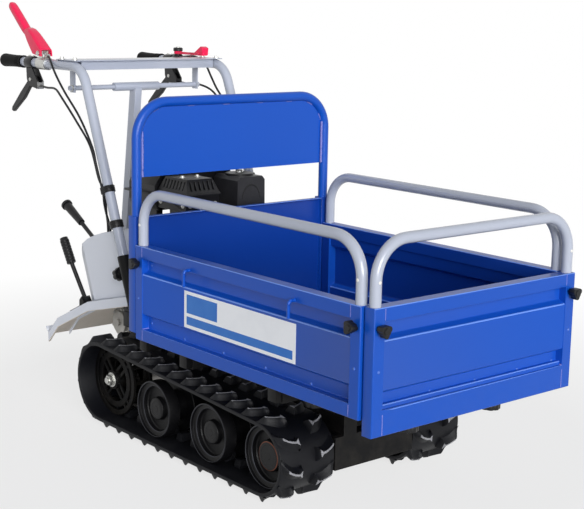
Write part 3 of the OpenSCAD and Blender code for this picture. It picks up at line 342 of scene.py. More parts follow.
def lug_rings(way):
    """Sections of a ground lug across the tread: broad feet, a narrow curved crest that flares."""
    outer, inner, foot, root = 79, 22, 17, 3
    sweep, lead, bow = math.radians(22), 11.5, 8
    thin, flare = 3.0, 7.5
    sections = []
    for y, lift in ((22, 0.0), (23.5, 0.5), (25.5, 0.86), (28, 1), (31, 1), (35, 1), (41, 1), (48, 1),
                    (55, 1), (62, 1), (67, 1), (70.5, 0.78), (75, 0.38), (79, 0.0)):
        share = (y - inner) / (outer - inner)
        middle = (outer - y) * math.tan(sweep) - lead + bow * math.sin(share * math.pi) - bow / 2
        crest = thin + flare * max(0, 1 - (y - inner - 4) / 9) + 0.8 * max(0, y - 60) / 7
        top = -root + (LUG_H + root) * lift
        flank = [(foot, -root), (foot - 5, -root + 4 * lift), (crest + 3.4, top - 6 * lift),
                 (crest, top - 0.7 * lift), (crest - 0.8, top)]
        shape = [(-x, h) for x, h in flank] + flank[::-1]
        sections.append([(middle + x, way * y, h) for x, h in shape])
    return sections


def set_on_belt(points, s, side):
    x, z, a = on_track(s % BELT_LEN)
    out = Vector((math.cos(a), 0, math.sin(a)))
    along = Vector((math.sin(a), 0, -math.cos(a)))
    return [Vector((x, side * TRACK_Y, z)) + along * u + out * h + Vector((0, v, 0)) for u, v, h in points]


track_rubber, rubber_shader, at = new_finish("track_rubber", Specular_IOR_Level=0.22)
grain = noise(at, 420, 4, 0.6)
scuffed = at.node("ShaderNodeAttribute", {"attribute_name": "wear"}, None, 2)
patchy = band(noise(at, 60, 5, 0.6), 0.3, 0.62)
worn_mask = band(scuffed, 0.5, 0.95) * (0.72 + patchy * 0.28)
dusty = band(noise(at, 14, 6, 0.6), 0.45, 0.75) * 0.16
rubber_base = tint(dusty, shade(8, 9, 14), shade(36, 36, 39))
feed(tint(worn_mask, rubber_base, shade(150, 150, 154)), rubber_shader, "Base Color")
feed(0.5 + dusty * 0.6 + worn_mask * 0.25, rubber_shader, "Roughness")
roughen(grain, rubber_shader, 0.25, 0.0006)
BELT_STEPS = 256
DRIVE_LUG = [(12, 18, -9), (12, 18, -14), (10, 16, -27), (8, 14, -30)]
for side, node in ((-1, "right_track"), (1, "left_track")):
    work = bmesh.new()
    wear = work.verts.layers.float.new("wear")
    half = TRACK_W / 2
    skin = [(half - 3, 0), (half - 0.8, -0.8), (half, -3), (half, -7), (half - 0.8, -9.2), (half - 3, -10),
            (3 - half, -10), (0.8 - half, -9.2), (-half, -7), (-half, -3), (0.8 - half, -0.8), (3 - half, 0)]
    belt = [(0, v, h) for v, h in skin]
    loft(work, [set_on_belt(belt, i * BELT_LEN / BELT_STEPS, side) for i in range(BELT_STEPS)], True)
    for i in range(LUGS):
        for way, shift in ((1, 0.5), (-1, 0.0)):
            rings = [set_on_belt(r, (i + shift) * BELT_LEN / LUGS, side) for r in lug_rings(way)]
            rows = loft(work, rings)
            for row in rows[3:-3]:
                for v in row[4:6]:
                    v[wear] = 1.0
        s = (i + 0.5) * BELT_LEN / LUGS
        loft(work, [set_on_belt([(-u, -v, h), (u, -v, h), (u, v, h), (-u, v, h)], s, side)
                    for u, v, h in DRIVE_LUG])
    to_piece(work, node + "_belt", track_rubber, "chassis", (node,), 40)

# Road wheels and front idlers: moulded black wheels with a dished face, a polished rim band and a
# stepped hub cap pressed over the axle's end; the idler's cap sits on a copper washer.
def turned(work, profile, place, axis, segments=56, finish=0, capped=True):
    """A shape turned on a lathe: (radius, height along the axis) pairs. It is closed at its ends,
    unless it is one stretch of a longer profile."""
    turn = Vector((0, 0, 1)).rotation_difference(Vector(axis).normalized()).to_matrix()
    angles = [k * math.tau / segments for k in range(segments)]
    rows = []
    for radius, height in profile:
        spots = [(0, 0)] if radius < 1e-6 else [(radius * math.cos(a), radius * math.sin(a)) for a in angles]
        rows.append([work.verts.new(Vector(place) + turn @ Vector((x, y, height))) for x, y in spots])
    faces = []
    for one, two in zip(rows, rows[1:]):
        for k in range(segments):
            n = (k + 1) % segments
            if len(one) == 1 and len(two) > 1:
                faces.append(work.faces.new((one[0], two[n], two[k])))
            elif len(two) == 1 and len(one) > 1:
                faces.append(work.faces.new((one[k], one[n], two[0])))
            elif len(one) > 1:
                faces.append(work.faces.new((one[k], one[n], two[n], two[k])))
    faces += [work.faces.new(row) for row in (rows[0], rows[-1]) if capped and len(row) > 1]
    for face in faces:
        face.material_index = finish


def moulded(name, colour, worn, rough, grain_scale=520, grain_depth=0.0004, strength=0.3, mirror=0.3):
    """Moulded plastic or rubber: a fine spark-eroded grain, with worn patches."""
    material, shader, at = new_finish(name, Specular_IOR_Level=mirror)
    wear_and_highlight = band(noise(at, 18, 5, 0.6), 0.42, 0.75)
    pits = noise(at, grain_scale, 3, 0.6)
    feed(tint(wear_and_highlight * 0.5, colour, worn), shader, "Base Color")
    feed(rough + pits * 0.12 - wear_and_highlight * 0.05, shader, "Roughness")
    roughen(pits, shader, strength, grain_depth)
    return material


def stretched(place, factors):
    return place.node("ShaderNodeVectorMath", {"operation": "MULTIPLY"}, {0: place, 1: factors})


def bare_metal(name, colour, dull, rough):
    """Bare or plated metal: drawn or turned streaks and dull patches."""
    material, shader, at = new_finish(name, Metallic=1.0)
    streak = noise(stretched(at, (40, 40, 900)), 1.0, 3, 0.6)
    patch = band(noise(at, 30, 4), 0.4, 0.75)
    feed(tint(patch * 0.6, colour, dull), shader, "Base Color")
    feed(rough + streak * 0.14 + patch * 0.1, shader, "Roughness")
    roughen(streak, shader, 0.08, 0.0003)
    return material


wheel_plastic = moulded("wheel_plastic", shade(9, 9, 11), shade(18, 18, 20), 0.36, mirror=0.22)
rim_steel = bare_metal("rim_steel", shade(62, 63, 68), shade(40, 40, 43), 0.3)
copper = bare_metal("copper", shade(120, 74, 58), shade(60, 42, 38), 0.4)
zinc = bare_metal("zinc", shade(196, 196, 192), shade(150, 150, 148), 0.3)
FLANGE_IN, FLANGE_OUT, AXLE_R = 22, 55, 12.05
for side, word in ((-1, "right"), (1, "left")):
    for kind, x, z, r, hub in (("rear_wheel", -40, 100.5, 74, 26), ("front_wheel", 195, 100.5, 74, 26),
                               ("idler", IDLER[0], IDLER[1], 77, 34)):
        work = bmesh.new()
        out = FLANGE_OUT
        place, axis = (x, side * TRACK_Y, z), (0, side, 0)
        washer = 2 if kind == "idler" else 0
        stretches = [
            (0, [(0, out - 12), (AXLE_R, out - 12), (AXLE_R, -out), (r - 3, -out), (r - 0.9, 0.9 - out),
                 (r, 3 - out), (r, -FLANGE_IN - 1), (r - 1, -FLANGE_IN), (40, -FLANGE_IN), (40, FLANGE_IN),
                 (r - 1, FLANGE_IN), (r, FLANGE_IN + 1), (r, out - 3), (r - 0.6, out - 0.9), (r - 1.8, out)]),
            (1, [(r - 2.4, out + 0.2), (r - 3.6, out + 0.2), (r - 4.2, out - 0.4)]),
            (0, [(r - 5, out - 7), (r - 6, out - 8), (r - 13.4, out - 9.6)]),
            (1, [(r - 14.4, out - 9.8), (r - 15.4, out - 10.8)]),
            (0, [(r - 16.6, out - 21), (r - 18.6, out - 23.6), (r - 22, out - 24), (hub + 8, out - 24),
                 (hub + 5, out - 23.4), (hub + 3.8, out - 21), (hub + 3, out - 11.4), (hub + 2, out - 10),
                 (hub + 0.6, out - 9.2)]),
            (washer, [(hub - 0.4, out - 8.7), (hub - 1.2, out - 8.6)]),
            (0, [(hub - 4, out - 8), (hub - 8, out - 8), (hub - 8.8, out - 8.5), (8.6, out - 8.5),
                 (8, out - 8), (0, out - 8)])]
        reached = []
        for finish, stretch in stretches:
            turned(work, reached + stretch, place, axis, 72, finish, False)
            reached = stretch[-1:]
        to_piece(work, f"{word}_{kind}_wheel", [wheel_plastic, rim_steel, copper], f"{word}_{kind}",
                 (f"{word}_{kind}",), 30)

# Drive sprockets: two cut steel discs with double spokes, welded to the hub and joined by pins, black
# painted, and held on the gearbox shaft by a plated nut and washer.
sprocket_black = sprayed("sprocket_black", shade(4, 4, 5), shade(9, 9, 9), 0.5, 0.08, 0.05, mirror=0.12)
for side, word in ((-1, "right"), (1, "left")):
    softened(f"{word}_sprocket", 0.8, sprocket_black)
    work = bmesh.new()
    place, axis = (SPROCKET[0], side * TRACK_Y, SPROCKET[1]), (0, side, 0)
    turned(work, [(20, 36.2), (20.4, 37), (20.4, 38.6), (19.6, 39.4), (14, 39.4)], place, axis, 40)
    turned(work, [(15.4, 38.4), (15.4, 48.6), (13.4, 50.3), (8.6, 50.3)], place, axis, 6)
    turned(work, [(8.4, 49.5), (8.4, 54.6), (7.6, 55.3), (0, 55.3)], place, axis, 24)
    to_piece(work, f"{word}_sprocket_nut", zinc, f"{word}_sprocket")

# Gearbox: a sand-cast aluminium case in two halves, bolted together, with the gear casing's lobe to
# the rear. The casting is left bare and has dulled unevenly.
cast_aluminium, cast_shader, at = new_finish("cast_aluminium", Metallic=0.85)
sand = noise(at, 650, 4, 0.65)
dull = band(noise(at, 16, 6, 0.6), 0.35, 0.72)
oily = band(noise(at, 7, 5, 0.6), 0.55, 0.8)
feed(tint(oily * 0.55, tint(dull * 0.7, shade(188, 186, 182), shade(140, 136, 130)), shade(92, 84, 74)),
     cast_shader, "Base Color")
feed(0.42 + sand * 0.2 + dull * 0.1, cast_shader, "Roughness")
roughen(sand, cast_shader, 0.35, 0.0008)
softened("gearbox", 3.0, cast_aluminium, 3, 30, True)


def bolt(work, place, axis, across, head, washer=1.6):
    """A hexagon head with its chamfer, on a washer."""
    turned(work, [(across * 0.62, -0.6), (across * 0.98, -0.6), (across * 0.98, washer - 0.3),
                  (across * 0.92, washer)], place, axis, 24)
    turned(work, [(across * 0.577, washer - 0.4), (across * 0.577, washer + head - 0.7),
                  (across * 0.5, washer + head), (0, washer + head)], place, axis, 6)


def bolt_ring(work, middle, radius, face, side, angles, across, head):
    """Bolts in a circle on a face that looks to one side of the machine."""
    for angle in angles:
        a = math.radians(angle)
        bolt(work, (middle[0] + radius * math.cos(a), side * face, middle[1] + radius * math.sin(a)),
             (0, side, 0), across, head)


LOBE, LOBE_FACE, HOUSING_FACE = (-416, 235), 118, 95
work = bmesh.new()
for side in (-1, 1):
    bolt_ring(work, LOBE, 37.5, LOBE_FACE, side, range(20, 380, 60), 8, 4)
    bolt_ring(work, SPROCKET, 52, HOUSING_FACE, side, range(0, 360, 45), 9, 5)
to_piece(work, "gearbox_bolts", zinc, "chassis")

# Engine: cast crankcase and finned cylinder painted black, with a fan housing; above it the louvred
# muffler guard, the moulded air cleaner and the black fuel tank with its ribbed cap.
engine_black = sprayed("engine_black", shade(16, 16, 17), shade(28, 28, 28), 0.42, 0.12, 0.1)
black_plastic = moulded("black_plastic", shade(16, 16, 18), shade(32, 32, 35), 0.33)
softened("engine_block", 2.0, engine_black, 2, 30, True)
softened("muffler_guard", 1.2, black_plastic, 2, 26, True)
grey_plastic = moulded("grey_plastic", shade(34, 34, 37), shade(52, 52, 56), 0.36)
softened("air_box", 4.0, grey_plastic, 3, 26, True)
softened("fuel_tank", 6.0, black_plastic, 3, 22, True)
CAP, CAP_R, CAP_RIBS = (-283.5, 30, 692), 25.6, 18
work = bmesh.new()
for k in range(CAP_RIBS):
    a = k * math.tau / CAP_RIBS
    turned(work, [(3.4, -6), (3.4, 9.4), (2.4, 10.2), (0, 10.2)],
           (CAP[0] + CAP_R * math.cos(a), CAP[1] + CAP_R * math.sin(a), CAP[2]), (0, 0, 1), 8)
AIR_FRONT, AIR_Y, LID_X, LID_Z = -110, 103, -164, 668
ARCH_Z, ARCH_BEADS = 606, 28
for k in range(ARCH_BEADS):
    a = math.pi * (0.04 + 0.92 * k / (ARCH_BEADS - 1))
    turned(work, [(2.6, -1.6), (2.1, 0.7), (1, 1.2), (0, 1.2)],
           (AIR_FRONT, AIR_Y + 30 * math.cos(a), ARCH_Z + 40 * math.sin(a)), (1, 0, 0), 10)
turned(work, [(38.6, -1.4), (38.6, 3.6), (37, 5.4), (30, 6), (12, 6.4), (11, 6.4)],
       (LID_X, AIR_Y, LID_Z), (0, 0, 1), 48)
to_piece(work, "engine_mouldings", black_plastic, "chassis")
MUFFLER_FRONT, MUFFLER_SIDE, MUFFLER_X, MUFFLER_TOP, MUFFLER_BOLT_Z = -92, -126, -150, 674, 608
work = bmesh.new()
for y in (-112, -72, -32):
    bolt(work, (MUFFLER_FRONT, y, MUFFLER_BOLT_Z), (1, 0, 0), 7, 3.5)
for x in (-206, -104):
    bolt(work, (x, MUFFLER_SIDE, MUFFLER_BOLT_Z), (0, -1, 0), 7, 3)
for y in (-96, -48):
    bolt(work, (MUFFLER_X, y, MUFFLER_TOP), (0, 0, 1), 8, 4)
turned(work, [(7.6, 4), (7.6, 8), (5.5, 12.4), (0, 12.6)], (LID_X, AIR_Y, LID_Z), (0, 0, 1), 20)
for way in (-1, 1):
    turned(work, [(5, -1.4), (5.6, 0), (5, 1.4), (0, 1.4)],
           (LID_X + way * 10, AIR_Y, LID_Z + 10), (0, 1, 0), 18)
to_piece(work, "engine_bolts", zinc, "chassis")

# Belt drive: two turned pulleys and a rubber V-belt behind a pressed steel cover with rounded
# corners, sprayed light grey; the rear guard is one bent sheet of the same finish, with its downward faces in
# a warmer grey that is painted shade.
pulley_steel = bare_metal("pulley_steel", shade(150, 150, 152), shade(116, 114, 112), 0.3)
soft_rubber = moulded("soft_rubber", shade(6, 6, 7), shade(14, 14, 15), 0.55, 700, 0.0004, 0.3, 0.1)
guard_paint = sprayed("guard_paint", shade(226, 230, 240), shade(214, 218, 228), 0.36, 0.05, 0.15, 0.1)
# A warmer grey copy of the guard's paint for its downward faces: painted shade with warm bounce light.
guard_underside_shade = sprayed("guard_underside_shade", shade(226, 216, 204), shade(208, 198, 186), 0.5, 0.08, 0.2)
for part in ("engine_pulley", "gearbox_pulley"):
    softened(part, 0.8, pulley_steel)
softened("drive_belt", 1.0, soft_rubber)
softened("belt_cover", 2.4, guard_paint, 3, 16)
softened("rear_guard", 1.2, [guard_paint, guard_underside_shade], pick=lambda c, n: int(n.z < -0.3))
GUARD_LINE, GUARD_T = [(-617, 179), (-563, 234), (-468, 279), (-398, 312)], 4
GUARD_RIB = [(-1.5, 13), (1.5, 13), (1.5, GUARD_T), (-1.5, GUARD_T)]
GUARD_UP = (-0.42, 0, 0.91)
work = bmesh.new()
for y in (-168, 168):
    loft(work, [[(x, y + across, z - drop) for across, drop in GUARD_RIB] for x, z in GUARD_LINE])
to_piece(work, "guard_ribs", guard_paint, "chassis")
work = bmesh.new()
for x, y, z in ((-600, 170, 196.5), (-520, 180, 254.6)):
    for side in (-1, 1):
        bolt(work, (x, side * y, z), GUARD_UP, 8, 4)
to_piece(work, "guard_bolts", zinc, "chassis")

# Bed frame and floor: black welded box section with the guide tubes of the panels, and a blue
# steel sheet on top, scratched bare along its length by loads.
softened("bed_frame", 1.0, black_paint)
BLUE, BLUE_WORN = shade(14, 76, 178), shade(20, 84, 188)
blue_paint = sprayed("blue_paint", BLUE, BLUE_WORN, 0.3, 0.04, 0.06, mirror=0.3)
# The floor sheet's blue is darker than the panels' blue: painted shade inside the box. Its lighter streaks
# are bare scratches.
floor_paint_shaded, floor_shader, at = new_finish("floor_paint_shaded", Specular_IOR_Level=0.35)
drag = noise(stretched(at, (3, 160, 40)), 1.0, 4, 0.7)
wear_and_highlight = band(drag, 0.6, 0.72) * band(noise(at, 5, 4), 0.4, 0.65)
feed(tint(wear_and_highlight * 0.5, shade(12, 58, 142), shade(48, 88, 160)), floor_shader, "Base Color")
feed(0.3 + wear_and_highlight * 0.25, floor_shader, "Roughness")
roughen(drag, floor_shader, 0.1, 0.0003)
softened("bed_floor", 0.5, floor_paint_shaded)

# Panels: square tube posts and rails with a pressed sheet welded between them, blue all over. The
# weld beads show at the corners, and a plain pale sticker is on the middle of each side.
silver_paint = sprayed("silver_paint", shade(176, 182, 197), shade(162, 168, 184), 0.22, 0.03, 0.04, 0.3, 0.5)
sticker_white = moulded("sticker_white", shade(244, 246, 250), shade(232, 234, 240), 0.3, 300, 0.0001, 0.05)
sticker_blue = moulded("sticker_blue", shade(44, 112, 196), shade(62, 130, 208), 0.3, 300, 0.0001, 0.05)
SIDE_Y, PANEL_TOP, SIDE_REAR, SIDE_FRONT, BAND_DEPTH = 321.5, 537, -31, 787, 20
FRONT_X, FRONT_HALF, POST = 821, 315, 30


def rounded_edge(a, b):
    """Whether an edge of a panel is a long one with a larger radius. The edges where a post meets
    the sheet aren't."""
    on_front = a.x > SIDE_FRONT + 2
    beside_sheet = abs(a.y) < 310 if on_front else SIDE_REAR + 5 < a.x < SIDE_FRONT - 5
    lowest = 264 if on_front else 296
    upright = abs(a.z - b.z) > 1
    return (a - b).length > 120 and min(a.z, b.z) > lowest and not (upright and beside_sheet)


# A darker copy of the blue paint for the panels' faces inside the box: painted shade, not a different paint.
blue_inside_shade = sprayed("blue_inside_shade", shade(12, 56, 146), shade(18, 64, 156), 0.3, 0.04, 0.06, mirror=0.3)
# A lighter blue for the upward faces of the panels' rounded edges: edge wear and a painted highlight.
blue_edge_highlight = sprayed("blue_edge_highlight", shade(96, 138, 226), shade(140, 170, 238), 0.24, 0.03, 0.0, 0.3)
softened("rear_panel", 1.0, [blue_paint, blue_edge_highlight, blue_inside_shade],
         pick=lambda c, n: 2 * int(n.x > 0.5),
         wide=(1.4, lambda a, b: abs(a.y - b.y) > 300 and min(a.z, b.z) > 602, 1))
panel_coats = [blue_paint, black_paint, blue_edge_highlight, blue_inside_shade]
softened("front_panel", 0.8, panel_coats, wide=(2.6, rounded_edge, 2),
         pick=lambda c, n: 1 if c.x < 788 else 3 * int(n.x < -0.5))
for part in ("right_panel", "left_panel"):
    softened(part, 0.8, panel_coats, wide=(2.6, rounded_edge, 2),
             pick=lambda c, n: 1 if c.z < 297 else 3 * int(c.y * n.y < -150))
chance = random.Random(7)


def weld(work, start, end, size):
    """A row of overlapping weld drops along a seam."""
    start, end = Vector(start), Vector(end)
    count = max(2, int((end - start).length / (size * 0.8)))
    for k in range(count + 1):
        drop = size * (0.85 + 0.3 * chance.random())
        spot = start.lerp(end, k / count) + Vector([(chance.random() - 0.5) * size * 0.25 for _ in range(3)])
        bmesh.ops.create_icosphere(work, subdivisions=1, radius=drop, matrix=Matrix.Translation(spot))


weld_paint = sprayed("weld_paint", shade(84, 104, 190), shade(236, 206, 222), 0.4, 0.2, 0.0)
rivet_paint = sprayed("rivet_paint", shade(40, 96, 196), shade(150, 170, 220), 0.22, 0.04, 0.0, 0.4)
TOP_SEAM, TOP_RAIL, POST_RIVET_Z = PANEL_TOP - 29, (511, 534), 405
RIVETS = (153, 308, 463, 618)
RIVET = [(3.4, -0.6), (3.4, 0.3), (2.6, 1.2), (1.2, 1.6), (0, 1.7)]
for side, word in ((-1, "right"), (1, "left")):
    work = bmesh.new()
    for x in (SIDE_REAR + POST, SIDE_FRONT - POST):
        for z in (TOP_SEAM, 329):
            weld(work, (x, side * (SIDE_Y - 19), z), (x, side * (SIDE_Y - 3), z), 1.7)
        for low, high in ((301, 325), TOP_RAIL):
            weld(work, (x, side * (SIDE_Y - 0.4), low), (x, side * (SIDE_Y - 0.4), high), 1.2)
    to_piece(work, f"{word}_panel_welds", weld_paint, f"{word}_panel", (), 60)
    work = bmesh.new()
    for x in RIVETS:
        turned(work, RIVET, (x, side * (SIDE_Y - BAND_DEPTH), 333), (0, side, 0), 16)
    for x in (SIDE_REAR + POST + 14, SIDE_FRONT - POST - 14):
        for z in (344, 490):
            turned(work, RIVET, (x, side * (SIDE_Y - BAND_DEPTH), z), (0, side, 0), 16)
    for x in (SIDE_REAR + POST / 2, SIDE_FRONT - POST / 2):
        turned(work, RIVET, (x, side * SIDE_Y, POST_RIVET_Z), (0, side, 0), 16)
    to_piece(work, f"{word}_panel_rivets", rivet_paint, f"{word}_panel")
    work = bmesh.new()
    face = side * (SIDE_Y - 2)
    for x0, x1, z0, z1, finish in ((176, 586, 371, 460, 0), (186, 576, 379, 399, 1), (186, 306, 407, 452, 1)):
        rings = []
        for inset, lift in ((0, -0.5), (0, 0.1), (0.2, 0.25)):
            y = face + side * (lift + 0.2 * finish)
            rings.append([(x0 + inset, y, z0 + inset), (x1 - inset, y, z0 + inset),
                          (x1 - inset, y, z1 - inset), (x0 + inset, y, z1 - inset)])
        before = set(work.faces)
        loft(work, rings)
        for new in set(work.faces) - before:
            new.material_index = finish
    to_piece(work, f"{word}_sticker", [sticker_white, sticker_blue], f"{word}_panel")
work = bmesh.new()
for y in (POST - FRONT_HALF, FRONT_HALF - POST):
    for z in (TOP_SEAM, 323):
        weld(work, (FRONT_X - 19, y, z), (FRONT_X - 3, y, z), 1.7)
    for low, high in ((270, 312), TOP_RAIL):
        weld(work, (FRONT_X - 0.4, y, low), (FRONT_X - 0.4, y, high), 1.2)
to_piece(work, "front_panel_welds", weld_paint, "front_panel", (), 60)
work = bmesh.new()
for y in (-270, -130, 10, 150, 270):
    turned(work, RIVET, (FRONT_X - BAND_DEPTH, y, 331), (1, 0, 0), 16)
for y in (POST / 2 - FRONT_HALF, FRONT_HALF - POST / 2):
    turned(work, RIVET, (FRONT_X, y, POST_RIVET_Z), (1, 0, 0), 16)
to_piece(work, "front_panel_rivets", rivet_paint, "front_panel")

# Headboard: one bent tube stood in the rear posts, with a sheet stitched across its upper half by
# short welds that were painted over.
def rounded_path(corners, radius, steps=12):
    """The middle line of a bent tube, each corner turned at one radius."""
    corners = [Vector(c) for c in corners]
    points = [corners[0]]
    for before, corner, after in zip(corners, corners[1:], corners[2:]):
        one, two = (before - corner).normalized(), (after - corner).normalized()
        half = one.angle(two) / 2
        centre = corner + (one + two).normalized() * radius / math.sin(half)
        start = corner + one * radius / math.tan(half) - centre
        end = corner + two * radius / math.tan(half) - centre
        turn = start.angle(end)
        for k in range(steps + 1):
            t = k / steps
            arm = start * math.sin((1 - t) * turn) + end * math.sin(t * turn)
            points.append(centre + arm / math.sin(turn))
    return points + [corners[-1]]


def tube(work, path, radius, sides=28):
    """A round tube or rod along a path, closed at its ends."""
    path = [Vector(p) for p in path]
    last = len(path) - 1
    ways = [(path[min(i + 1, last)] - path[max(i - 1, 0)]).normalized() for i in range(last + 1)]
    across = ways[0].orthogonal().normalized()
    angles = [k * math.tau / sides for k in range(sides)]
    rings = []
    for point, way in zip(path, ways):
        across = (across - way * across.dot(way)).normalized()
        up = way.cross(across)
        rings.append([point + radius * (math.cos(a) * across + math.sin(a) * up) for a in angles])
    loft(work, rings)


HEAD_X, HEAD_Y, HEAD_FOOT, HEAD_TOP, HEAD_BEND = -48, 305, 524, 884.5, 88
BEND_Y, BEND_Z = HEAD_Y - HEAD_BEND, HEAD_TOP - HEAD_BEND
SHEET_LOW, SHEET_LAP = 701, 5
work = bmesh.new()
tube(work, rounded_path([(HEAD_X, -HEAD_Y, HEAD_FOOT), (HEAD_X, -HEAD_Y, HEAD_TOP),
                         (HEAD_X, HEAD_Y, HEAD_TOP), (HEAD_X, HEAD_Y, HEAD_FOOT)], HEAD_BEND), 12.5)
edge, round_r = HEAD_Y - SHEET_LAP, HEAD_BEND - SHEET_LAP
rim = [(-edge, SHEET_LOW), (edge, SHEET_LOW)]
for first, centre in ((0, BEND_Y), (90, -BEND_Y)):
    arc = [math.radians(first + k * 7.5) for k in range(13)]
    rim += [(centre + round_r * math.cos(a), BEND_Z + round_r * math.sin(a)) for a in arc]
loft(work, [[(HEAD_X - 1.5, y, z) for y, z in rim], [(HEAD_X + 1.5, y, z) for y, z in rim]])
to_piece(work, "headboard_frame", blue_paint, "load_bed", ("headboard",), 30)
work = bmesh.new()
seam_y, seam_r = HEAD_Y - 13.4, HEAD_BEND - 12
for side in (-1, 1):
    for low, high, size in ((704, 716, 3.8), (722, 812, 3.6)):
        weld(work, (HEAD_X + 5, side * seam_y, low), (HEAD_X + 5, side * seam_y, high), size)
    for first in (18, 58):
        arc = [math.radians(first + k * 4) for k in range(4)]
        spots = [(HEAD_X + 2, side * (BEND_Y + seam_r * math.cos(a)), BEND_Z + seam_r * math.sin(a))
                 for a in arc]
        for one, two in zip(spots, spots[1:]):
            weld(work, one, two, 1.9)
for y in (-150, -40, 70, 170):
    weld(work, (HEAD_X + 2, y, HEAD_TOP - 12.3), (HEAD_X + 2, y + 16, HEAD_TOP - 12.3), 1.9)
to_piece(work, "headboard_welds", weld_paint, "load_bed", (), 60)

# Hoops: bent steel tube in the panels' posts, silver-grey paint, each leg with a pale snap button
# that stops it from falling through.
button_white = moulded("button_white", shade(232, 230, 224), shade(210, 208, 200), 0.4)
HOOP_TOP, HOOP_FOOT, HOOP_BEND, HOOP_R, BUTTON_Z = 669.5, 400, 80, 12.3, 588
for word, one, two, outward in (("right", (-16, -306.5), (772, -306.5), (0, -1, 0)),
                                ("left", (-16, 306.5), (772, 306.5), (0, 1, 0)),
                                ("front", (806, -300), (806, 300), (1, 0, 0))):
    work = bmesh.new()
    bent = [(*one, HOOP_FOOT), (*one, HOOP_TOP), (*two, HOOP_TOP), (*two, HOOP_FOOT)]
    tube(work, rounded_path(bent, HOOP_BEND), HOOP_R)
    for leg in (one, two):
        spot = Vector((*leg, BUTTON_Z)) + (HOOP_R - 0.1) * Vector(outward)
        turned(work, [(3.6, -0.5), (3.6, 0.4), (2.6, 1.2), (0, 1.5)], spot, outward, 16, 1)
    to_piece(work, f"{word}_hoop_tube", [silver_paint, button_white], f"{word}_hoop",
             (f"{word}_hoop",), 40)

# Hand knobs: black moulded lobed knobs on steel studs; they clamp the hoops, the panels' slide
# tubes and the handlebar.
knobs = [n for n in frame["nodes"] if n.endswith("_knob")]
for part in sorted(knobs):
    softened(part, 1.0, black_plastic, 2, 30, True)

# Handlebar: two bars of bent steel tube in silver-grey paint with ribbed rubber grips, and a folded
# sheet shelf bolted across them that also carries the rod of the brace.
BAR_Y, GRIP_Z, GRIP_END = 236, 952, -845
BAR_FOOT, BAR_BEND, BAR_R, LEAN = 390, 75, 13.5, math.radians(22)
SOCKET_X, SOCKET_Z = -162, 330


def bar_x(z):
    return SOCKET_X - (z - SOCKET_Z) * math.tan(LEAN)


work = bmesh.new()
for y in (-BAR_Y, BAR_Y):
    bent = [(bar_x(BAR_FOOT), y, BAR_FOOT), (bar_x(GRIP_Z), y, GRIP_Z), (GRIP_END + 6, y, GRIP_Z)]
    tube(work, rounded_path(bent, BAR_BEND), BAR_R)
to_piece(work, "handlebar_tubes", silver_paint, "handlebar", ("handlebar",), 40)
work = bmesh.new()
profile = [(0, 0), (14.5, 0), (17.4, 0.7), (18.6, 2.4), (18.9, 5), (18.6, 12), (18, 26), (17.4, 44), (17, 62),
           (16.8, 78)]
for k in range(4):
    start = 82 + k * 6
    profile += [(16.6, start), (17.2, start + 1), (17.2, start + 3.4), (16.6, start + 4.4)]
profile += [(17, 107), (17.8, 109), (17.8, 112.5), (16.8, 114), (13.7, 114), (13.7, 5)]
for y in (-BAR_Y, BAR_Y):
    turned(work, profile, (GRIP_END, y, GRIP_Z), (1, 0, 0), 40)
to_piece(work, "grip_rubbers", soft_rubber, "handlebar", ("grips",), 30)
softened("bar_shelf", 0.6, silver_paint)
softened("brace_tube", 1.0, silver_paint)
softened("brace_foot", 1.0, black_paint)
softened("cable_bands", 0.6, black_plastic, 2, 40)
work = bmesh.new()
lean_way = Vector((-math.sin(LEAN), 0, math.cos(LEAN)))
front_way, side_way = Vector((math.cos(LEAN), 0, math.sin(LEAN))), Vector((0, 1, 0))
for side in (-1, 1):
    for z, radius, reach in ((638, 16, 92), (549, 18, 180)):
        for step in (-6, -2, 2, 6):
            middle = Vector((bar_x(z), side * BAR_Y, z)) + step * lean_way
            turns = [math.radians(-reach + k * reach / 16) for k in range(33)]
            rib = [middle + radius * (math.cos(a) * front_way + math.sin(a) * side_way) for a in turns]
            tube(work, rib, 0.9, 8)
to_piece(work, "cable_band_ribs", black_plastic, "handlebar")
SHELF_TOP, ROD_X, ROD_Z, ROD_END = 968, -515, 889, 208
work = bmesh.new()
for y in (-BAR_Y, BAR_Y):
    for x in (-520, -452):
        bolt(work, (x, y, SHELF_TOP), (0, 0, 1), 9, 5)
for side in (-1, 1):
    turned(work, [(8, 0), (9.5, 0), (9.5, 3), (8, 3.6)], (ROD_X, side * ROD_END, ROD_Z), (0, side, 0), 24)
to_piece(work, "shelf_bolts", zinc, "handlebar")

# Hand and floor levers: the clutch and throttle levers are pressed steel in red gloss, the steering
# levers black mouldings in black perches, and the floor levers black rods with moulded grips.
lever_red = sprayed("lever_red", shade(236, 8, 74), shade(244, 36, 98), 0.26, 0.03, 0.0, 0.08)
softened("lever_mounts", 1.0, [black_plastic, zinc], 2, 30, True,
         lambda c, n: int(c.y < 0 and -643 < c.x < -590))


def channel(top, bottom, half, wall=3, corner=7, steps=6):
    """A section of a pressed channel, open below: up one flange outside, across, and back inside."""
    depth = math.dist(top, bottom)
    rows = []
    for inset in (0, wall):
        bend = min(max(corner - inset, 1), depth - inset - 0.5)
        side, crown = half - inset, depth - inset
        arc = [(side - bend + bend * math.cos(k * math.pi / 2 / steps),
                crown - bend + bend * math.sin(k * math.pi / 2 / steps)) for k in range(steps + 1)]
        row = [(side, 0)] + arc
        row += [(-y, h) for y, h in reversed(row)]
        rows += row if inset == 0 else row[::-1]
    run, rise = top[0] - bottom[0], top[1] - bottom[1]
    return [(bottom[0] + run * h / depth, y - BAR_Y, bottom[1] + rise * h / depth) for y, h in rows]


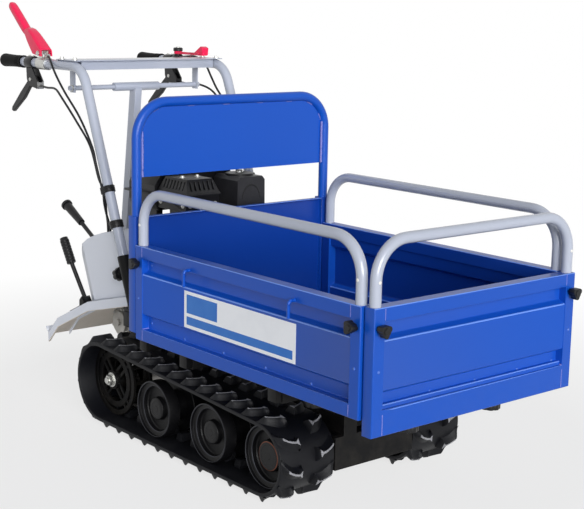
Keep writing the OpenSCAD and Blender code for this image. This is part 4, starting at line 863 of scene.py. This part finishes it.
def rounded_bar(middle, along, half, thick, power=3.2, count=28):
    """A section of a bar whose corners are well rounded, square to its run."""
    ring = []
    for k in range(count):
        c, s = math.cos(k * math.tau / count), math.sin(k * math.tau / count)
        y = half * math.copysign(abs(c) ** (2 / power), c)
        n = thick * math.copysign(abs(s) ** (2 / power), s)
        ring.append((middle[0] + n * along[1], y - BAR_Y, middle[1] - n * along[0]))
    return ring


HOOD = [((-606, 993), (-603, 972), 18), ((-622, 1005.5), (-628, 974), 18), ((-642, 1020), (-652, 978), 17.4),
        ((-662, 1035), (-673, 998), 16), ((-679, 1045), (-690, 1015), 14.4),
        ((-693, 1048.5), (-702, 1028), 12.8), ((-705, 1046), (-711, 1037), 11)]
HANDLE_WAY = (-0.775, 0.632)
HANDLE = [((-698, 1029.5), 6, 3.6), ((-702, 1032.5), 9.6, 7.4), ((-708, 1037), 11.4, 10.2),
          ((-717, 1044.4), 12, 11.2), ((-735, 1059.4), 12, 11.6), ((-765, 1084.4), 11.6, 11.6),
          ((-786, 1101.6), 11.2, 11.2), ((-794, 1108), 10.4, 10.2), ((-799, 1112), 8.2, 7.6),
          ((-801.6, 1114.4), 4.8, 4.2)]
CLUTCH_X, CLUTCH_Z, STEER_X, STEER_Z, THROTTLE_X = -620, 980, -680, 905, -645
work = bmesh.new()
loft(work, [channel(top, bottom, half) for top, bottom, half in HOOD])
loft(work, [rounded_bar(middle, HANDLE_WAY, half, thick) for middle, half, thick in HANDLE])
to_piece(work, "clutch_lever_pressing", lever_red, "clutch_lever", ("clutch_lever",), 40)
softened("throttle_lever", 1.4, lever_red, 3)
for part in ("right_steering_lever", "left_steering_lever"):
    softened(part, 2.2, black_plastic, 3)
for part in ("gear_lever", "tip_lever"):
    softened(part, 1.2, black_plastic, 2, 30, True)
work = bmesh.new()
for way in (-1, 1):
    turned(work, [(7, 0), (7.4, 0.4), (7.4, 1.4), (5, 1.8), (5, 4), (4, 4.8), (0, 4.8)],
           (CLUTCH_X, -BAR_Y + way * 18, CLUTCH_Z), (0, way, 0), 20)
to_piece(work, "clutch_lever_pins", zinc, "handlebar")
work = bmesh.new()
for side in (-1, 1):
    for way in (-1, 1):
        turned(work, [(5.2, -0.5), (5.2, 1.6), (4.2, 2.4), (0, 2.4)],
               (STEER_X, side * BAR_Y + way * 10.5, STEER_Z), (0, way, 0), 20)
    for x in (-698, -674):
        turned(work, [(4, -1), (4, 2), (3.2, 2.8), (0, 2.8)], (x, side * BAR_Y, 969.3), (0, 0, 1), 16)
turned(work, [(7, 0), (7, 1.6), (5, 2.6), (0, 2.6)], (THROTTLE_X, BAR_Y, 991), (0, 0, 1), 20)
to_piece(work, "lever_screws", zinc, "handlebar")
work = bmesh.new()
turned(work, [(4, -0.6), (13.6, -0.6), (14.2, 0), (14.2, 7), (12.4, 9.4), (4, 9.8), (0, 9.8)],
       (THROTTLE_X, BAR_Y, 981.6), (0, 0, 1), 40)
to_piece(work, "throttle_cap", black_plastic, "throttle_lever")

# Control cables: black sheathed wire cables from the levers, held to the bars by the upper bands;
# the right pair drops through the belt cover's slot, the left pair goes to the air box and the gearbox.
ROUTES = {
    "clutch_cable": [
        (-594, -236, 972), (-566, -248, 968), (-538, -256, 948), (-512, -256, 918), (-475, -254, 880),
        (-403, -252, 818), (-345, -250, 745), (-326, -250, 700), (-301.7, -249, 643.7), (-293.4, -249, 623.3),
        (-296, -245, 600), (-305, -233, 570), (-318, -217, 543), (-328, -206, 516), (-333, -200, 495),
        (-336, -198, 478)],
    "right_steering_cable": [
        (-640, -236, 889), (-600, -238, 886), (-545, -244, 886), (-490, -256, 866), (-416, -254, 806),
        (-358, -248, 745), (-320, -246, 662), (-306.3, -239, 641.8), (-298.1, -239, 621.4), (-304, -235, 598),
        (-318, -224, 566), (-334, -211, 538), (-345, -203, 513), (-350, -198.5, 494), (-352, -197, 476)],
    "throttle_cable": [
        (-628, 247, 965), (-580, 256, 966), (-535, 258, 945), (-505, 257, 912), (-470, 254, 876),
        (-403, 252, 818), (-345, 250, 745), (-326, 250, 700), (-301.7, 249, 643.7), (-293.4, 249, 623.3),
        (-292, 250, 601), (-297, 245, 578), (-304, 230, 564), (-302, 212, 562), (-285, 204, 572),
        (-255, 203, 595), (-226, 197, 609), (-202, 182, 615), (-192, 165, 616), (-192, 150.3, 616)],
    "left_steering_cable": [
        (-640, 236, 889), (-600, 238, 886), (-545, 244, 886), (-490, 256, 866), (-416, 254, 806),
        (-358, 248, 745), (-320, 246, 662), (-306.3, 239, 641.8), (-298.1, 239, 621.4), (-304, 237, 598),
        (-316, 230, 566), (-332, 218, 530), (-350, 195, 470), (-362, 170, 420), (-370, 130, 370),
        (-373, 88, 338), (-374, 71, 317), (-374, 70, 300.3)],
}
sheath = moulded("cable_sheath", shade(12, 13, 16), shade(30, 32, 38), 0.4, 800, 0.0002, 0.15)


def eased(points, steps=5):
    """A smooth line through the points."""
    points = [Vector(p) for p in points]
    line = []
    for i in range(len(points) - 1):
        a, b, c, d = (points[max(0, min(len(points) - 1, i + k))] for k in (-1, 0, 1, 2))
        for k in range(steps):
            t = k / steps
            line.append(0.5 * (2 * b + (c - a) * t + (2 * a - 5 * b + 4 * c - d) * t ** 2
                               + (3 * b - a - 3 * c + d) * t ** 3))
    return line + [points[-1]]


CABLE_R = 3
for number, (name, route) in enumerate(ROUTES.items()):
    line = eased(route)
    work = bmesh.new()
    tube(work, line, CABLE_R, 14)
    cable = to_piece(work, name, sheath, None, () if number else ("cables",), 50)
    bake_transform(cable)
    path = [p * MM for p in line]
    sum((b - a).length for a, b in zip(path, path[1:]))

# Floor, light and camera: a plain pale studio floor that fades to the white backdrop, a large soft
# light above the front and a pale room around it, and the camera where the photograph was taken from.
FLOOR = 40
floor = bpy.data.objects.new("floor", bpy.data.meshes.new("floor"))
floor.data.from_pydata([(-FLOOR, -FLOOR, 0), (FLOOR, -FLOOR, 0), (FLOOR, FLOOR, 0), (-FLOOR, FLOOR, 0)], [],
                       [(0, 1, 2, 3)])
bpy.context.scene.collection.objects.link(floor)
floor_finish, floor_look, at = new_finish("floor_finish", Roughness=0.9, Specular_IOR_Level=0.2)
feed(tint(band(noise(at, 3, 3), 0.3, 0.7) * 0.3, (0.72, 0.72, 0.72, 1), (0.7, 0.7, 0.7, 1)),
     floor_look, "Base Color")
far = band(at.node("ShaderNodeVectorMath", {"operation": "LENGTH"}, {0: at}, 1) * 0.2, 0.18, 0.44)


def to_the_eye(place):
    """1 for what the camera sees itself, in a mirror or through glass."""
    ray = place.node("ShaderNodeLightPath")
    seen = [Wire(place.tree, ray.socket.node.outputs[f"Is {kind} Ray"])
            for kind in ("Camera", "Glossy", "Transmission")]
    return place.math("MAXIMUM", place.math("MAXIMUM", seen[0], seen[1]), seen[2])


backdrop = at.node("ShaderNodeEmission", None, {"Color": (1, 1, 1, 1), "Strength": 1.0})
lit = Wire(at.tree, floor_look.outputs["BSDF"])
floor_mix = at.node("ShaderNodeMixShader", None,
                    {0: (0.74 + far * 0.26) * to_the_eye(at), 1: lit, 2: backdrop})
at.tree.links.new(floor_mix.socket, at.tree.nodes["Material Output"].inputs["Surface"])
floor.data.materials.append(floor_finish)

world = bpy.data.worlds.new("studio")
bpy.context.scene.world = world
world.use_nodes = True
sky = world.node_tree
room = Wire(sky, sky.nodes.new("ShaderNodeTexCoord").outputs["Generated"])
overhead = band(height_of(room), 0.1, 0.9)
lit = room.node("ShaderNodeBackground", None,
                {"Color": (0.94, 0.97, 1.0, 1), "Strength": 0.43 - overhead * 0.33})
shown = room.node("ShaderNodeBackground", None, {"Color": (1, 1, 1, 1), "Strength": 1.0})
mixed = room.node("ShaderNodeMixShader", None, {0: to_the_eye(room), 1: lit, 2: shown})
sky.links.new(mixed.socket, sky.nodes["World Output"].inputs["Surface"])

lamp = bpy.data.lights.new("front_light", "SUN")
lamp.energy, lamp.angle = 3.9, math.radians(40)
holder = bpy.data.objects.new("front_light", lamp)
holder.rotation_euler = Vector((1.0, -0.42, 0.2)).to_track_quat("Z", "Y").to_euler()
bpy.context.scene.collection.objects.link(holder)

PHOTO_W, FOCAL_PX, SENSOR_MM = 584, 1308.1, 36
CAMERA_PLACE = (2.6444, -2.0660, 1.1294)
azimuth, elevation, roll = (math.radians(a) for a in (49.93, 10.88, 1.05))
back = Vector((math.sin(azimuth) * math.cos(elevation), -math.cos(azimuth) * math.cos(elevation),
               math.sin(elevation)))
right = Vector((math.cos(azimuth), math.sin(azimuth), 0))
up = back.cross(right)
right, up = (right * math.cos(roll) + up * math.sin(roll), up * math.cos(roll) - right * math.sin(roll))
camera = bpy.data.objects.new("camera", bpy.data.cameras.new("camera"))
camera.data.sensor_width = SENSOR_MM
camera.data.lens = FOCAL_PX / PHOTO_W * SENSOR_MM
camera.matrix_world = Matrix((*zip(right, up, back, CAMERA_PLACE), (0, 0, 0, 1)))
bpy.context.scene.collection.objects.link(camera)
bpy.context.scene.camera = camera
bpy.context.scene.view_settings.view_transform = "Standard"
